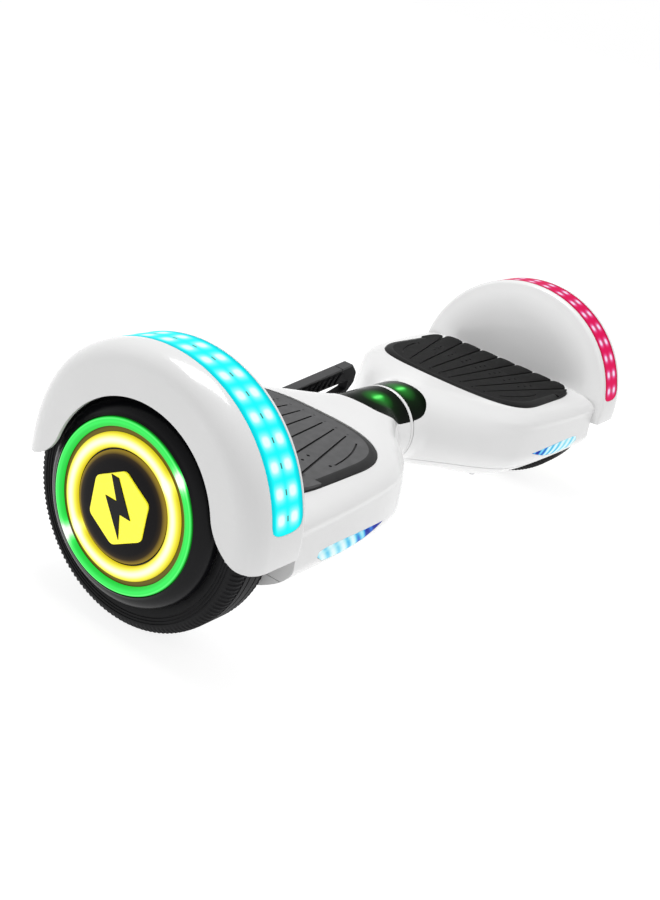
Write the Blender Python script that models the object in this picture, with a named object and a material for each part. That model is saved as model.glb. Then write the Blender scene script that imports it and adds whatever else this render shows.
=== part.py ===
"""Self balancing hoverboard: two tilting halves on a pivot tube, each with a hub motor wheel.

Frame: +X along the wheels' common axle, -Y is the front with the headlights, +Z is up.
The origin is on the floor under the middle of the board. All sizes are in metres.
The left half (-X) is the fixed one. Everything that exists on both sides is made by one
function that takes side = -1 for left or +1 for right.
"""
import math

import bmesh
import bpy
from mathutils import Matrix, Vector

# ---- Driving dimensions ------------------------------------------------------------------
WHEEL_R = 0.0825            # 6.5 inch wheel
AXLE_Z = WHEEL_R            # the wheels stand on z = 0
GAP = 0.0003                # clearance between touching pieces
SKIN = 0.0025               # wall thickness of the plastic shells
SIDES = ((-1, "left"), (1, "right"))

# Body: the cross-section across Y changes along |x|. Each list holds (|x|, value) knots.
NECK_END = 0.0025           # the shells stop here, on either side of the centre ring
FRONT_WIDTH = ((0.0, 0.0348), (0.020, 0.0358), (0.034, 0.0440), (0.050, 0.0562), (0.070, 0.0712),
               (0.100, 0.0856), (0.140, 0.0910), (0.190, 0.0938), (0.235, 0.0950))
REAR_WIDTH = ((0.0, 0.0268), (0.025, 0.0284), (0.040, 0.0335), (0.055, 0.0450), (0.070, 0.0590),
              (0.085, 0.0715), (0.100, 0.0815), (0.140, 0.0905), (0.190, 0.0938), (0.235, 0.0950))
TOP_Z = ((0.0, 0.1178), (0.025, 0.1172), (0.045, 0.1158), (0.065, 0.1138), (0.090, 0.1120),
         (0.120, 0.1110), (0.235, 0.1081))
BOTTOM_Z = ((0.0, 0.0562), (0.020, 0.0545), (0.040, 0.0500), (0.060, 0.0470), (0.090, 0.0395),
            (0.130, 0.0360), (0.235, 0.0360))
WIDEST_Z = ((0.0, 0.0870), (0.020, 0.0865), (0.045, 0.0835), (0.100, 0.0760), (0.235, 0.0740))
TOP_POWER = ((0.0, 2.0), (0.025, 2.05), (0.045, 2.3), (0.070, 3.3), (0.120, 6.0), (0.235, 6.5))
BOTTOM_POWER = ((0.0, 2.0), (0.030, 2.0), (0.070, 2.12), (0.150, 2.0), (0.235, 1.8))
BELLY_CUT = 0.0012          # depth of the flat that is cut along the belly
ROOF = 0.0085               # thickness of the deck, which holds the pad's pocket
PARTING_Z = 0.0620          # the top and bottom shells meet here
BODY_STATIONS = (0.0025, 0.012, 0.021, 0.029, 0.039, 0.051, 0.068, 0.090, 0.120, 0.160, 0.2295)
CAVITY_STATIONS = (0.0, 0.018, 0.030, 0.045, 0.068, 0.095, 0.130, 0.2265)

# Fender: an arch about an axis just above and in front of the axle. Angles run from the front.
FENDER_Y, FENDER_Z = -0.0030, 0.0875
FENDER_R = 0.0958
FENDER_FIRST, FENDER_LAST = -1.5, 181.5
FENDER_SIDE = 0.2840        # outboard face
FENDER_WALL = 0.2285        # inboard wall where it leaves the deck
STRIP_IN, STRIP_OUT = 0.2377, 0.2666
STRIP_DEPTH = 0.0035
STRIP_FIRST, STRIP_LAST = 11.0, 140.0
TAIL_FIRST = 125.0          # past here the outer shoulder grows rounder towards the rear
ARCH_Y, ARCH_Z, ARCH_R = -0.0057, 0.0887, 0.0632
ARCH_FOOT = 0.0850          # height of the fender's lower edge
FRONT_LOBE, REAR_LOBE = 0.0360, 0.0270      # radii where the arch turns out into that edge

# Foot pad
PAD_Z = 0.1108              # height of the tread plane at |x| = PAD_REF
PAD_REF = 0.120
PAD_SLOPE = 0.0272          # the pads fall away outboard
PAD_IN, PAD_MID, PAD_OUT = 0.0870, 0.1470, 0.2268
PAD_HALF = 0.0730
PAD_THICK = 0.0042
PAD_TRAVEL = 0.0012
PAD_RIM = 0.0050
PAD_RISE = 0.0016           # the tread stands this far above the rim
POST_PLACES = ((0.150, -0.035), (0.150, 0.035))

# Hub motor wheel, stations along |x|
TYRE_IN, TYRE_OUT = 0.2315, 0.2685
TYRE_SEAT_R = 0.0640
CAP_FACE = 0.2805
RING_FACE = 0.2815
AXLE_R = 0.0080

# Centre pivot and carry handle
PIVOT = (-0.0040, 0.0870)   # the neck and its pivot tube lie on this (y, z) line
TUBE_R, TUBE_BORE = 0.0125, 0.0100
RING_R = 0.0308
HANDLE_PIN_Y, HANDLE_PIN_Z = 0.0485, 0.0700
HANDLE_FRONT, HANDLE_REAR = 0.0568, 0.0648      # at rest the loop stands upright against its stop

PLATE_LOW, PLATE_TOP = 0.0715, 0.0750

REAR_PORT_X, BUTTON_X, REAR_Z = -0.160, -0.122, 0.0760

COLOURS = {
    "white_gloss": ((0.90, 0.90, 0.90), 0.18, 0.0),
    "black_gloss": ((0.012, 0.012, 0.013), 0.20, 0.0),
    "black_plastic": ((0.020, 0.020, 0.022), 0.50, 0.0),
    "grey_rubber": ((0.075, 0.075, 0.078), 0.70, 0.0),
    "tyre_rubber": ((0.015, 0.015, 0.016), 0.80, 0.0),
    "cyan_light": ((0.02, 0.85, 0.95), 0.30, 0.0),
    "crimson_light": ((0.85, 0.02, 0.12), 0.30, 0.0),
    "blue_light": ((0.45, 0.75, 1.00), 0.20, 0.0),
    "green_light": ((0.05, 0.80, 0.10), 0.30, 0.0),
    "yellow_light": ((1.00, 0.85, 0.10), 0.30, 0.0),
    "smoked_lens": ((0.010, 0.040, 0.012), 0.10, 0.0),
    "cast_aluminium": ((0.60, 0.61, 0.62), 0.45, 1.0),
    "steel": ((0.55, 0.55, 0.56), 0.30, 1.0),
    "copper_winding": ((0.65, 0.28, 0.12), 0.40, 1.0),
    "magnet": ((0.25, 0.25, 0.27), 0.35, 1.0),
    "bronze": ((0.60, 0.42, 0.20), 0.40, 1.0),
    "circuit_board": ((0.02, 0.18, 0.08), 0.50, 0.0),
    "battery_wrap": ((0.05, 0.15, 0.50), 0.40, 0.0),
    "cable_jacket": ((0.03, 0.03, 0.03), 0.60, 0.0),
}


# ---- Modelling helpers -------------------------------------------------------------------
def clear_scene():
    for old in list(bpy.data.objects):
        bpy.data.objects.remove(old, do_unlink=True)


def material(name):
    found = bpy.data.materials.get(name)
    if found:
        return found
    colour, roughness, metallic = COLOURS[name]
    made = bpy.data.materials.new(name)
    made.use_nodes = True
    made.diffuse_color = (*colour, 1.0)
    shader = made.node_tree.nodes["Principled BSDF"]
    shader.inputs["Base Color"].default_value = (*colour, 1.0)
    shader.inputs["Roughness"].default_value = roughness
    shader.inputs["Metallic"].default_value = metallic
    return made


def finish_mesh(name, bm, colour=None, smooth_angle=38.0):
    """Turn a closed bmesh into an object with outward faces."""
    bmesh.ops.remove_doubles(bm, verts=bm.verts, dist=1e-6)
    bmesh.ops.recalc_face_normals(bm, faces=bm.faces)
    mesh = bpy.data.meshes.new(name)
    bm.to_mesh(mesh)
    bm.free()
    mesh.shade_smooth()
    mesh.set_sharp_from_angle(angle=math.radians(smooth_angle))
    made = bpy.data.objects.new(name, mesh)
    if colour:
        mesh.materials.append(material(colour))
    bpy.context.collection.objects.link(made)
    return made


def loft(name, rings, colour=None):
    """A closed solid through rings of equally many points, with flat ends."""
    bm = bmesh.new()
    rows = [[bm.verts.new(point) for point in ring] for ring in rings]
    count = len(rows[0])
    for row, following in zip(rows, rows[1:]):
        for i in range(count):
            j = (i + 1) % count
            bm.faces.new((row[i], row[j], following[j], following[i]))
    bm.faces.new(rows[0])
    bm.faces.new(rows[-1])
    return finish_mesh(name, bm, colour)


def prism(name, outline, axis, low, high, colour=None):
    """Extrude an outline along an axis: the outline holds the other two coordinates in order."""
    def place(point, height):
        if axis == "X":
            return (height, point[0], point[1])
        if axis == "Y":
            return (point[0], height, point[1])
        return (point[0], point[1], height)
    return loft(name, [[place(p, level) for p in outline] for level in (low, high)], colour)


def box(name, low, high, colour=None):
    outline = ((low[0], low[1]), (high[0], low[1]), (high[0], high[1]), (low[0], high[1]))
    return prism(name, outline, "Z", low[2], high[2], colour)


def circle(radius, count, centre=(0.0, 0.0), phase=0.5):
    turns = [(i + phase) * math.tau / count for i in range(count)]
    return [(centre[0] + radius * math.cos(t), centre[1] + radius * math.sin(t)) for t in turns]


def turned(name, profile, colour=None, side=1, centre=(0.0, AXLE_Z), count=40, first=0.0, last=360.0):
    """Spin a closed (|x|, radius) profile about a line along X through centre = (y, z).

    A full turn has a flat facing straight down. A part turn runs from the first to the last
    angle, counted from the front (-Y) over the top.
    """
    full = last - first >= 360.0
    steps = count if full else count + 1
    bm = bmesh.new()
    rows = []
    for k in range(steps):
        share = (k + 0.5) / count if full else k / count
        angle = math.radians(first + (last - first) * share)
        across, up = -math.cos(angle), math.sin(angle)
        rows.append([bm.verts.new((side * x, centre[0] + r * across, centre[1] + r * up))
                     for x, r in profile])
    pairs = list(zip(rows, rows[1:]))
    if full:
        pairs.append((rows[-1], rows[0]))
    size = len(profile)
    for row, following in pairs:
        for i in range(size):
            j = (i + 1) % size
            if profile[i][1] == 0.0 and profile[j][1] == 0.0:
                continue
            bm.faces.new((row[i], row[j], following[j], following[i]))
    if not full:
        bm.faces.new(rows[0])
        bm.faces.new(rows[-1])
    return finish_mesh(name, bm, colour)


def arc(centre, radii, start, end, count):
    """Points on an ellipse, angles in degrees, both ends included."""
    points = []
    for k in range(count + 1):
        angle = math.radians(start + (end - start) * k / count)
        points.append((centre[0] + radii[0] * math.cos(angle), centre[1] + radii[1] * math.sin(angle)))
    return points


def combine(target, other, operation):
    """Boolean modifier on the target; the other object becomes a hidden guide."""
    modifier = target.modifiers.new(other.name, "BOOLEAN")
    modifier.operation = operation
    modifier.object = other
    other.hide_render = True
    other.display_type = "WIRE"
    return target


def cut(target, *cutters):
    for cutter in cutters:
        combine(target, cutter, "DIFFERENCE")
    return target


def add(target, *others):
    for other in others:
        combine(target, other, "UNION")
    return target


def joint_empty(name, place, parent=None):
    made = bpy.data.objects.new(name, None)
    made.empty_display_size = 0.02
    made.location = place
    bpy.context.collection.objects.link(made)
    if parent:
        made.parent = parent
        made.location = Vector(place) - parent.matrix_world.translation
    bpy.context.view_layer.update()
    return made


def attach(parent, *pieces):
    """Hang pieces on an empty, so that their origins lie on its joint axis."""
    shift = Matrix.Translation(-parent.matrix_world.translation)
    for piece in pieces:
        piece.data.transform(shift)
        piece.parent = parent


# ---- Body outline ------------------------------------------------------------------------
def along(knots, x):
    """Smooth value at x through (x, value) knots: cubic pieces whose slopes never overshoot."""
    if x <= knots[0][0]:
        return knots[0][1]
    if x >= knots[-1][0]:
        return knots[-1][1]
    slopes = [(b[1] - a[1]) / (b[0] - a[0]) for a, b in zip(knots, knots[1:])]
    tangents = [slopes[0]]
    for before, after in zip(slopes, slopes[1:]):
        tangents.append(0.0 if before * after <= 0 else 2 * before * after / (before + after))
    tangents.append(slopes[-1])
    for i, (a, b) in enumerate(zip(knots, knots[1:])):
        if x <= b[0]:
            span = b[0] - a[0]
            t = (x - a[0]) / span
            return ((2 * t**3 - 3 * t**2 + 1) * a[1] + (t**3 - 2 * t**2 + t) * span * tangents[i]
                    + (3 * t**2 - 2 * t**3) * b[1] + (t**3 - t**2) * span * tangents[i + 1])
    return knots[-1][1]


def section(side, x, count, inset=0.0, roof=0.0):
    """Superellipse across the body at |x|; its top half and bottom half have their own powers."""
    front, rear = along(FRONT_WIDTH, x), along(REAR_WIDTH, x)
    centre, wide = (rear - front) / 2, (rear + front) / 2 - inset
    middle = along(WIDEST_Z, x)
    top = along(TOP_Z, x) - roof
    bottom = along(BOTTOM_Z, x) + inset
    floor = bottom + BELLY_CUT
    points = []
    for i in range(count):
        angle = math.tau * i / count
        across, up = math.cos(angle), math.sin(angle)
        power = along(TOP_POWER if up > 0 else BOTTOM_POWER, x)
        reach = (top - middle) if up > 0 else (middle - bottom)
        y = centre + wide * math.copysign(abs(across) ** (2 / power), across)
        z = middle + reach * math.copysign(abs(up) ** (2 / power), up)
        points.append((side * x, y, max(z, floor)))
    return points


def underside(x, y):
    """Height of the body's outer surface below the widest line, at |x| and y."""
    middle, power = along(WIDEST_Z, x), along(BOTTOM_POWER, x)
    front, rear = along(FRONT_WIDTH, x), along(REAR_WIDTH, x)
    share = (abs(2 * y - rear + front) / (rear + front)) ** power
    return middle - (middle - along(BOTTOM_Z, x)) * (1 - share) ** (1 / power)


def roof_at(x):
    """The shell's top wall thickens from the neck to the deck."""
    return along(((0.0, SKIN), (0.050, SKIN), (0.085, ROOF), (0.235, ROOF)), x)


def body_solid(name, side):
    return loft(name, [section(side, x, 28) for x in BODY_STATIONS])


def cavity_solid(name, side):
    return loft(name, [section(side, x, 20, SKIN, roof_at(x)) for x in CAVITY_STATIONS])


def pad_plane(x):
    return PAD_Z - PAD_SLOPE * (x - PAD_REF)


def pad_outline(grow=0.0, count=7):
    """Foot pad seen from above, as (|x|, y): a blunt inner end and squarer outer corners."""
    half = []
    for k in range(count + 1):
        angle = math.radians(90.0 * k / count)
        half.append((PAD_MID - (PAD_MID - PAD_IN + grow) * math.cos(angle) ** (2 / 2.9),
                     (PAD_HALF + grow) * math.sin(angle) ** (2 / 2.9)))
    for k in range(1, count + 1):
        angle = math.radians(90.0 * k / count)
        half.append((PAD_MID + (PAD_OUT - PAD_MID + grow) * math.sin(angle) ** (2 / 6.0),
                     (PAD_HALF + grow) * math.cos(angle) ** (2 / 6.0) if k < count else 0.0))
    return half + [(x, -y) for x, y in half[-2:0:-1]]


def pad_ring(side, outline, drop):
    return [(side * x, y, pad_plane(x) - drop) for x, y in outline]


def lens_outline(side, grow=0.0, count=6):
    """Status light on top of the neck: a blunt tongue, longer on the left half."""
    reach, power = (0.0465, 5.0) if side < 0 else (0.0290, 4.0)
    half = []
    for k in range(count + 1):
        x = reach * math.sin(math.radians(90.0 * k / count))
        wide = 0.0270 * max(0.0, 1 - (x / reach) ** power) ** (1 / power)
        half.append((NECK_END + GAP + x * (1 - NECK_END / reach) + (grow if k else -0.005), wide + grow))
    half[-1] = (half[-1][0], 0.0)
    ends = half + [(x, -y) for x, y in half[-2::-1]]
    return [(side * x, PIVOT[0] + y) for x, y in ends]


def headlight_outline(side, grow=0.0):
    """Front lamp as (x, z): a leaf, pointed inboard and blunt outboard."""
    upper = [(0.1200 - grow, 0.0752), (0.1400, 0.0763 + grow), (0.1700, 0.0778 + grow),
             (0.1920, 0.0785 + grow), (0.2030 + grow, 0.0775 + grow)]
    lower = [(0.2040 + grow, 0.0742), (0.1950, 0.0690 - grow), (0.1700, 0.0668 - grow),
             (0.1450, 0.0692 - grow)]
    return [(side * x, z) for x, z in upper + lower]


# ---- Shells ------------------------------------------------------------------------------
def fender_profile(angle):
    """(|x|, radius) of the fender as a full disc, before the wheel well is cut."""
    share = min(1.0, max(0.0, (angle - TAIL_FIRST) / (180.0 - TAIL_FIRST)))
    tail = share * share * (3 - 2 * share)
    start = STRIP_OUT - 0.0186 * tail
    side_r = FENDER_R - 0.0145 - 0.0115 * tail
    shoulder = arc((start, side_r), (FENDER_SIDE - start, FENDER_R - side_r), 90, 0, 4)
    return [(FENDER_WALL, 0.0), (FENDER_WALL, 0.0660), (0.2290, 0.0780), (0.2315, 0.0865),
            (0.2370, FENDER_R)] + shoulder + [(FENDER_SIDE, 0.0)]


def fender_solid(name, side, steps=24):
    rings = []
    for k in range(steps + 1):
        angle = FENDER_FIRST + (FENDER_LAST - FENDER_FIRST) * k / steps
        turn = math.radians(angle)
        rings.append([(side * x, FENDER_Y - r * math.cos(turn), FENDER_Z + r * math.sin(turn))
                      for x, r in fender_profile(angle)])
    return loft(name, rings)


def well_profile():
    return [(0.2300, 0.0), (0.2300, 0.0660), (0.2308, 0.0780), (0.2340, 0.0855), (0.2385, 0.0880),
            (0.2700, 0.0880), (0.2740, 0.0830), (0.2790, 0.0740), (0.2815, 0.0680), (0.2815, 0.0)]


def arch_outline():
    """(y, z) of the opening in the fender's side: a round arch that flares to rounded lobes."""
    ends = []
    for lobe in (REAR_LOBE, FRONT_LOBE):
        lean = math.asin((ARCH_FOOT + lobe - ARCH_Z) / (ARCH_R + lobe))
        out, start = (ARCH_R + lobe) * math.cos(lean), math.degrees(lean)
        curve = arc((out, ARCH_FOOT + lobe), (lobe, lobe), 270, 180 + start, 5)
        ends.append([(out, ARCH_FOOT - 0.010)] + curve + arc((0.0, ARCH_Z), (ARCH_R, ARCH_R), start, 90, 7)[1:])
    rear, front = ends
    return [(ARCH_Y + y, z) for y, z in rear + [(-y, z) for y, z in front[-2::-1]]]


def strip_sector(name, side, grow, depth, top, colour=None):
    profile = [(STRIP_IN - grow, FENDER_R - depth), (STRIP_OUT + grow, FENDER_R - depth),
               (STRIP_OUT + grow, top), (STRIP_IN - grow, top)]
    lean = math.degrees(grow / FENDER_R)
    return turned(name, profile, colour, side, (FENDER_Y, FENDER_Z), 16, STRIP_FIRST - lean,
                  STRIP_LAST + lean)


def make_top_shell(side, word):
    shell = body_solid(word + "_top_shell", side)
    shell.data.materials.append(material("white_gloss"))
    fender = fender_solid(word + "_fender_guide", side)
    below = box(word + "_below_parting", (-0.3, -0.2, -0.02), (0.3, 0.2, PARTING_Z))
    add(shell, fender)
    cut(shell, below, cavity_solid(word + "_top_cavity", side))
    cut(shell, turned(word + "_well", well_profile(), None, side, (FENDER_Y, FENDER_Z), 28))
    face = sorted((side * 0.2785, side * 0.2950))
    cut(shell, prism(word + "_arch", arch_outline(), "X", *face))
    cut(shell, strip_sector(word + "_strip_groove", side, GAP, STRIP_DEPTH + GAP, 0.1100))
    grown = pad_outline(0.0004)
    floor = PAD_THICK + PAD_TRAVEL + 0.0002
    pocket = loft(word + "_pad_pocket", [pad_ring(side, grown, floor), pad_ring(side, grown, -0.02)])
    cut(shell, pocket)
    for number, (x, y) in enumerate(POST_PLACES):
        hole = prism(f"{word}_post_hole_{number}", circle(0.0062, 12, (side * x, y)), "Z", 0.090, 0.112)
        cut(shell, hole)
    cut(shell, prism(word + "_lens_hole", lens_outline(side, GAP), "Z", 0.0925, 0.140))
    cut(shell, prism(word + "_lamp_hole", headlight_outline(side, GAP), "Y", -0.120, -0.060))
    low, high = sorted((side * 0.220, side * 0.236))
    cut(shell, prism(word + "_axle_hole", circle(0.0095, 16, (0.0, AXLE_Z)), "X", low, high))
    return shell


def make_bottom_shell(side, word):
    shell = body_solid(word + "_bottom_shell", side)
    shell.data.materials.append(material("white_gloss"))
    above = box(word + "_above_parting", (-0.3, -0.2, PARTING_Z - GAP), (0.3, 0.2, 0.2))
    cut(shell, above, cavity_solid(word + "_bottom_cavity", side))
    for number, (x, y) in enumerate(((0.096, -0.052), (0.096, 0.052), (0.205, -0.056), (0.205, 0.056))):
        foot = underside(x, y) + SKIN / 2
        boss = prism(f"{word}_boss_{number}", circle(0.0045, 10, (side * x, y)), "Z", foot, PLATE_LOW - GAP)
        add(shell, boss)
    for modifier in shell.modifiers:
        modifier.solver = "MANIFOLD"    # the exact solver leaves open edges at the bosses' feet
    return shell


def make_status_lens(side, word):
    lens = body_solid(word + "_status_lens", side)
    lens.data.materials.append(material("smoked_lens"))
    combine(lens, prism(word + "_lens_guide", lens_outline(side), "Z", 0.0925, 0.140), "INTERSECT")
    return cut(lens, cavity_solid(word + "_lens_cavity", side))


def make_headlight(side, word):
    lamp = body_solid(word + "_headlight", side)
    lamp.data.materials.append(material("blue_light"))
    combine(lamp, prism(word + "_lamp_guide", headlight_outline(side), "Y", -0.120, -0.060), "INTERSECT")
    return cut(lamp, cavity_solid(word + "_lamp_cavity", side))


def make_fender_light(side, word):
    colour = "cyan_light" if side < 0 else "crimson_light"
    return strip_sector(word + "_fender_light", side, 0.0, STRIP_DEPTH, FENDER_R, colour)


def make_foot_pad(side, word):
    inner = pad_outline(-PAD_RIM)
    outer = pad_outline()
    rings = [pad_ring(side, outer, PAD_THICK), pad_ring(side, outer, 0.0), pad_ring(side, inner, -PAD_RISE)]
    pad = loft(word + "_foot_pad", rings, "grey_rubber")
    for number, (x, y) in enumerate(POST_PLACES):
        post = prism(f"{word}_post_{number}", circle(0.0040, 10, (side * x, y)), "Z", 0.0975, 0.1080)
        add(pad, post)
    return pad


# ---- Chassis and electronics -------------------------------------------------------------
def make_chassis(side, word):
    outline = [(0.040, 0.0225), (0.075, 0.0505), (0.110, 0.068), (0.2245, 0.070)]
    outline = [(side * x, y) for x, y in outline + [(x, -y) for x, y in outline[::-1]]]
    chassis = prism(word + "_chassis", outline, "Z", PLATE_LOW, PLATE_TOP, "cast_aluminium")
    housing = turned(word + "_tube_housing", [(0.036, 0.0), (0.036, 0.0185), (0.074, 0.0185), (0.074, 0.0)],
                     None, side, PIVOT, 24)
    low, high = sorted((side * 0.0405, side * 0.0700))
    web = box(word + "_tube_web", (low, -0.0140, 0.0640), (high, 0.0140, 0.0800))
    low, high = sorted((side * 0.1820, side * 0.2180))
    seat = box(word + "_axle_seat", (low, -0.0200, 0.0730), (high, 0.0200, AXLE_Z - GAP / 2))
    add(chassis, housing, web, seat)
    bore = TUBE_R + GAP if side < 0 else TUBE_R + 0.0030
    low, high = sorted((side * 0.030, side * 0.080))
    cut(chassis, prism(word + "_tube_bore", circle(bore, 24, PIVOT), "X", low, high))
    low, high = sorted((side * 0.170, side * 0.240))
    cut(chassis, prism(word + "_axle_bore", circle(AXLE_R + GAP, 20, (0.0, AXLE_Z)), "X", low, high))
    low, high = sorted((side * 0.0738, side * 0.0845))
    cut(chassis, prism(word + "_clip_room", circle(0.0176, 20, PIVOT), "X", low, high))
    low, high = sorted((side * 0.0860, side * 0.1080))
    cut(chassis, box(word + "_cable_slot", (low, -0.0040, 0.0650), (high, 0.0180, 0.0780)))
    for modifier in chassis.modifiers:
        modifier.solver = "MANIFOLD"    # the exact solver leaves open edges where these bores meet
    return chassis


def make_axle_clamp(side, word):
    low, high = sorted((side * 0.1835, side * 0.2165))
    clamp = box(word + "_axle_clamp", (low, -0.0200, AXLE_Z + GAP / 2), (high, 0.0200, 0.0960), "cast_aluminium")
    low, high = sorted((side * 0.170, side * 0.240))
    return cut(clamp, prism(word + "_clamp_bore", circle(AXLE_R + GAP, 20, (0.0, AXLE_Z)), "X", low, high))


def make_gyro_board(side, word):
    low, high = sorted((side * 0.100, side * 0.132))
    board = box(word + "_gyro_board", (low, -0.016, 0.0790), (high, 0.016, 0.0806), "circuit_board")
    middle = side * 0.116
    chip = box(word + "_gyro_chip", (middle - 0.005, -0.005, 0.0800), (middle + 0.005, 0.005, 0.0825))
    post = prism(word + "_gyro_post", circle(0.003, 8, (middle, 0.0)), "Z", PLATE_TOP + GAP, 0.0800)
    return add(board, chip, post)


def make_foot_switches(side, word):
    made = []
    for (x, y), place in zip(POST_PLACES, ("front", "rear")):
        name = f"{word}_foot_switch_{place}"
        low, high = (side * x - 0.0065, y - 0.005), (side * x + 0.0065, y + 0.005)
        switch = box(name, (*low, PLATE_TOP + GAP), (*high, 0.0950), "black_plastic")
        slot = box(name + "_slot", (side * x - 0.0045, y - 0.010, 0.0880), (side * x + 0.0045, y + 0.010, 0.10))
        made.append(cut(switch, slot))
    return made


def make_battery():
    pack = box("battery_pack", (0.1030, -0.0380, 0.0440), (0.1970, 0.0380, PLATE_LOW - GAP), "battery_wrap")
    bevel = pack.modifiers.new("round_edges", "BEVEL")
    bevel.width = 0.006
    bevel.segments = 2
    return pack


def make_main_board():
    board = box("main_board", (-0.1960, -0.0440, 0.0560), (-0.1150, 0.0440, 0.0576), "circuit_board")
    sink = box("heat_sink", (-0.1900, -0.0380, 0.0570), (-0.1740, 0.0380, 0.0700))
    add(board, sink)
    for number, (y, radius) in enumerate(((-0.024, 0.0060), (0.024, 0.0060), (0.0, 0.0045))):
        part = prism(f"capacitor_{number}", circle(radius, 10, (-0.136, y)), "Z", 0.0460, 0.0570)
        add(board, part)
    post = prism("board_post", circle(0.003, 8, (-0.156, 0.0)), "Z", 0.0570, PLATE_LOW - GAP)
    return add(board, post)


def make_speaker():
    cone = [(0.0462, 0.0160), (0.0462, 0.0140), (0.0500, 0.0060), (0.0500, 0.0), (0.0575, 0.0),
            (0.0575, 0.0095), (0.0515, 0.0095), (0.0480, 0.0160)]
    count = 20
    bm = bmesh.new()
    rows = []
    for k in range(count):
        angle = math.tau * k / count
        rows.append([bm.verts.new((-0.098 + r * math.cos(angle), r * math.sin(angle), z)) for z, r in cone])
    for row, following in zip(rows, rows[1:] + rows[:1]):
        for i in range(len(cone)):
            j = (i + 1) % len(cone)
            if cone[i][1] or cone[j][1]:
                bm.faces.new((row[i], row[j], following[j], following[i]))
    return finish_mesh("speaker", bm, "black_plastic")


def make_battery_cable():
    """Runs from the main board through the pivot tube to a plug on the pivot's axis."""
    route = [(-0.1145, 0.0120, 0.0610), (-0.1060, 0.0120, 0.0625), (-0.1010, 0.0110, 0.0680),
             (-0.0960, 0.0070, 0.0765), (-0.0900, 0.0020, 0.0825), (-0.0820, -0.0020, 0.0860),
             (-0.0720, *PIVOT), (0.0, *PIVOT), (0.0860, *PIVOT)]
    curve = bpy.data.curves.new("battery_cable", "CURVE")
    curve.dimensions = "3D"
    curve.bevel_depth = 0.0028
    curve.bevel_resolution = 1
    curve.use_fill_caps = True
    spline = curve.splines.new("POLY")
    spline.points.add(len(route) - 1)
    for point, place in zip(spline.points, route):
        point.co = (*place, 1.0)
    cable = bpy.data.objects.new("battery_cable", curve)
    curve.materials.append(material("cable_jacket"))
    bpy.context.collection.objects.link(cable)
    return cable


# ---- Centre pivot ------------------------------------------------------------------------
def ring_profile(x_low, x_high, bore, radius):
    return [(x_low, bore), (x_low, radius), (x_high, radius), (x_high, bore)]


def make_pivot(fixed, moving):
    tube = turned("pivot_tube", ring_profile(-0.0740, 0.0800, TUBE_BORE, TUBE_R), "steel", 1, PIVOT, 24)
    spacer = turned("pivot_spacer", ring_profile(-0.0355, 0.0355, TUBE_R + GAP, 0.0160), "steel", 1, PIVOT, 24)
    ring = turned("centre_ring", ring_profile(-0.0020, 0.0020, RING_R - 0.0032, RING_R), "white_gloss", 1, PIVOT, 32)
    bush = turned("pivot_bush", ring_profile(0.0365, 0.0735, TUBE_R + GAP, TUBE_R + 0.0027), "bronze", 1, PIVOT, 24)
    clip = turned("pivot_circlip", ring_profile(0.0745, 0.0760, TUBE_R + GAP, 0.0170), "steel", 1, PIVOT, 24)
    attach(fixed, tube, spacer, ring, clip)
    attach(moving, bush)


# ---- Wheels ------------------------------------------------------------------------------
def tyre_profile(count):
    """The flats, not the corners, of the many-sided tread stand at the wheel's radius."""
    tread = WHEEL_R / math.cos(math.pi / count)
    return [(TYRE_IN + 0.0015, TYRE_SEAT_R), (TYRE_IN, 0.0690), (TYRE_IN + 0.0018, 0.0770),
            (TYRE_IN + 0.0042, 0.0808), (TYRE_IN + 0.0080, tread), (TYRE_OUT - 0.0050, tread),
            (TYRE_OUT - 0.0020, 0.0808), (TYRE_OUT, 0.0775), (TYRE_OUT, 0.0690),
            (TYRE_OUT - 0.0015, TYRE_SEAT_R)]


def cap_profile():
    """Hub cap: a shallow dome with a sunk seat for the two light rings and the emblem."""
    face, base, foot = CAP_FACE, CAP_FACE - 0.0016, 0.2688
    seat = [(base, 0.0), (base, 0.0548), (face, 0.0548)]
    dome = arc((foot, 0.0560), (face - foot, 0.0075), 0, 75, 3)
    inside = [(foot, 0.0634), (foot, 0.0590), (0.2765, 0.0530), (0.2765, 0.0)]
    return seat + dome + inside


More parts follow.
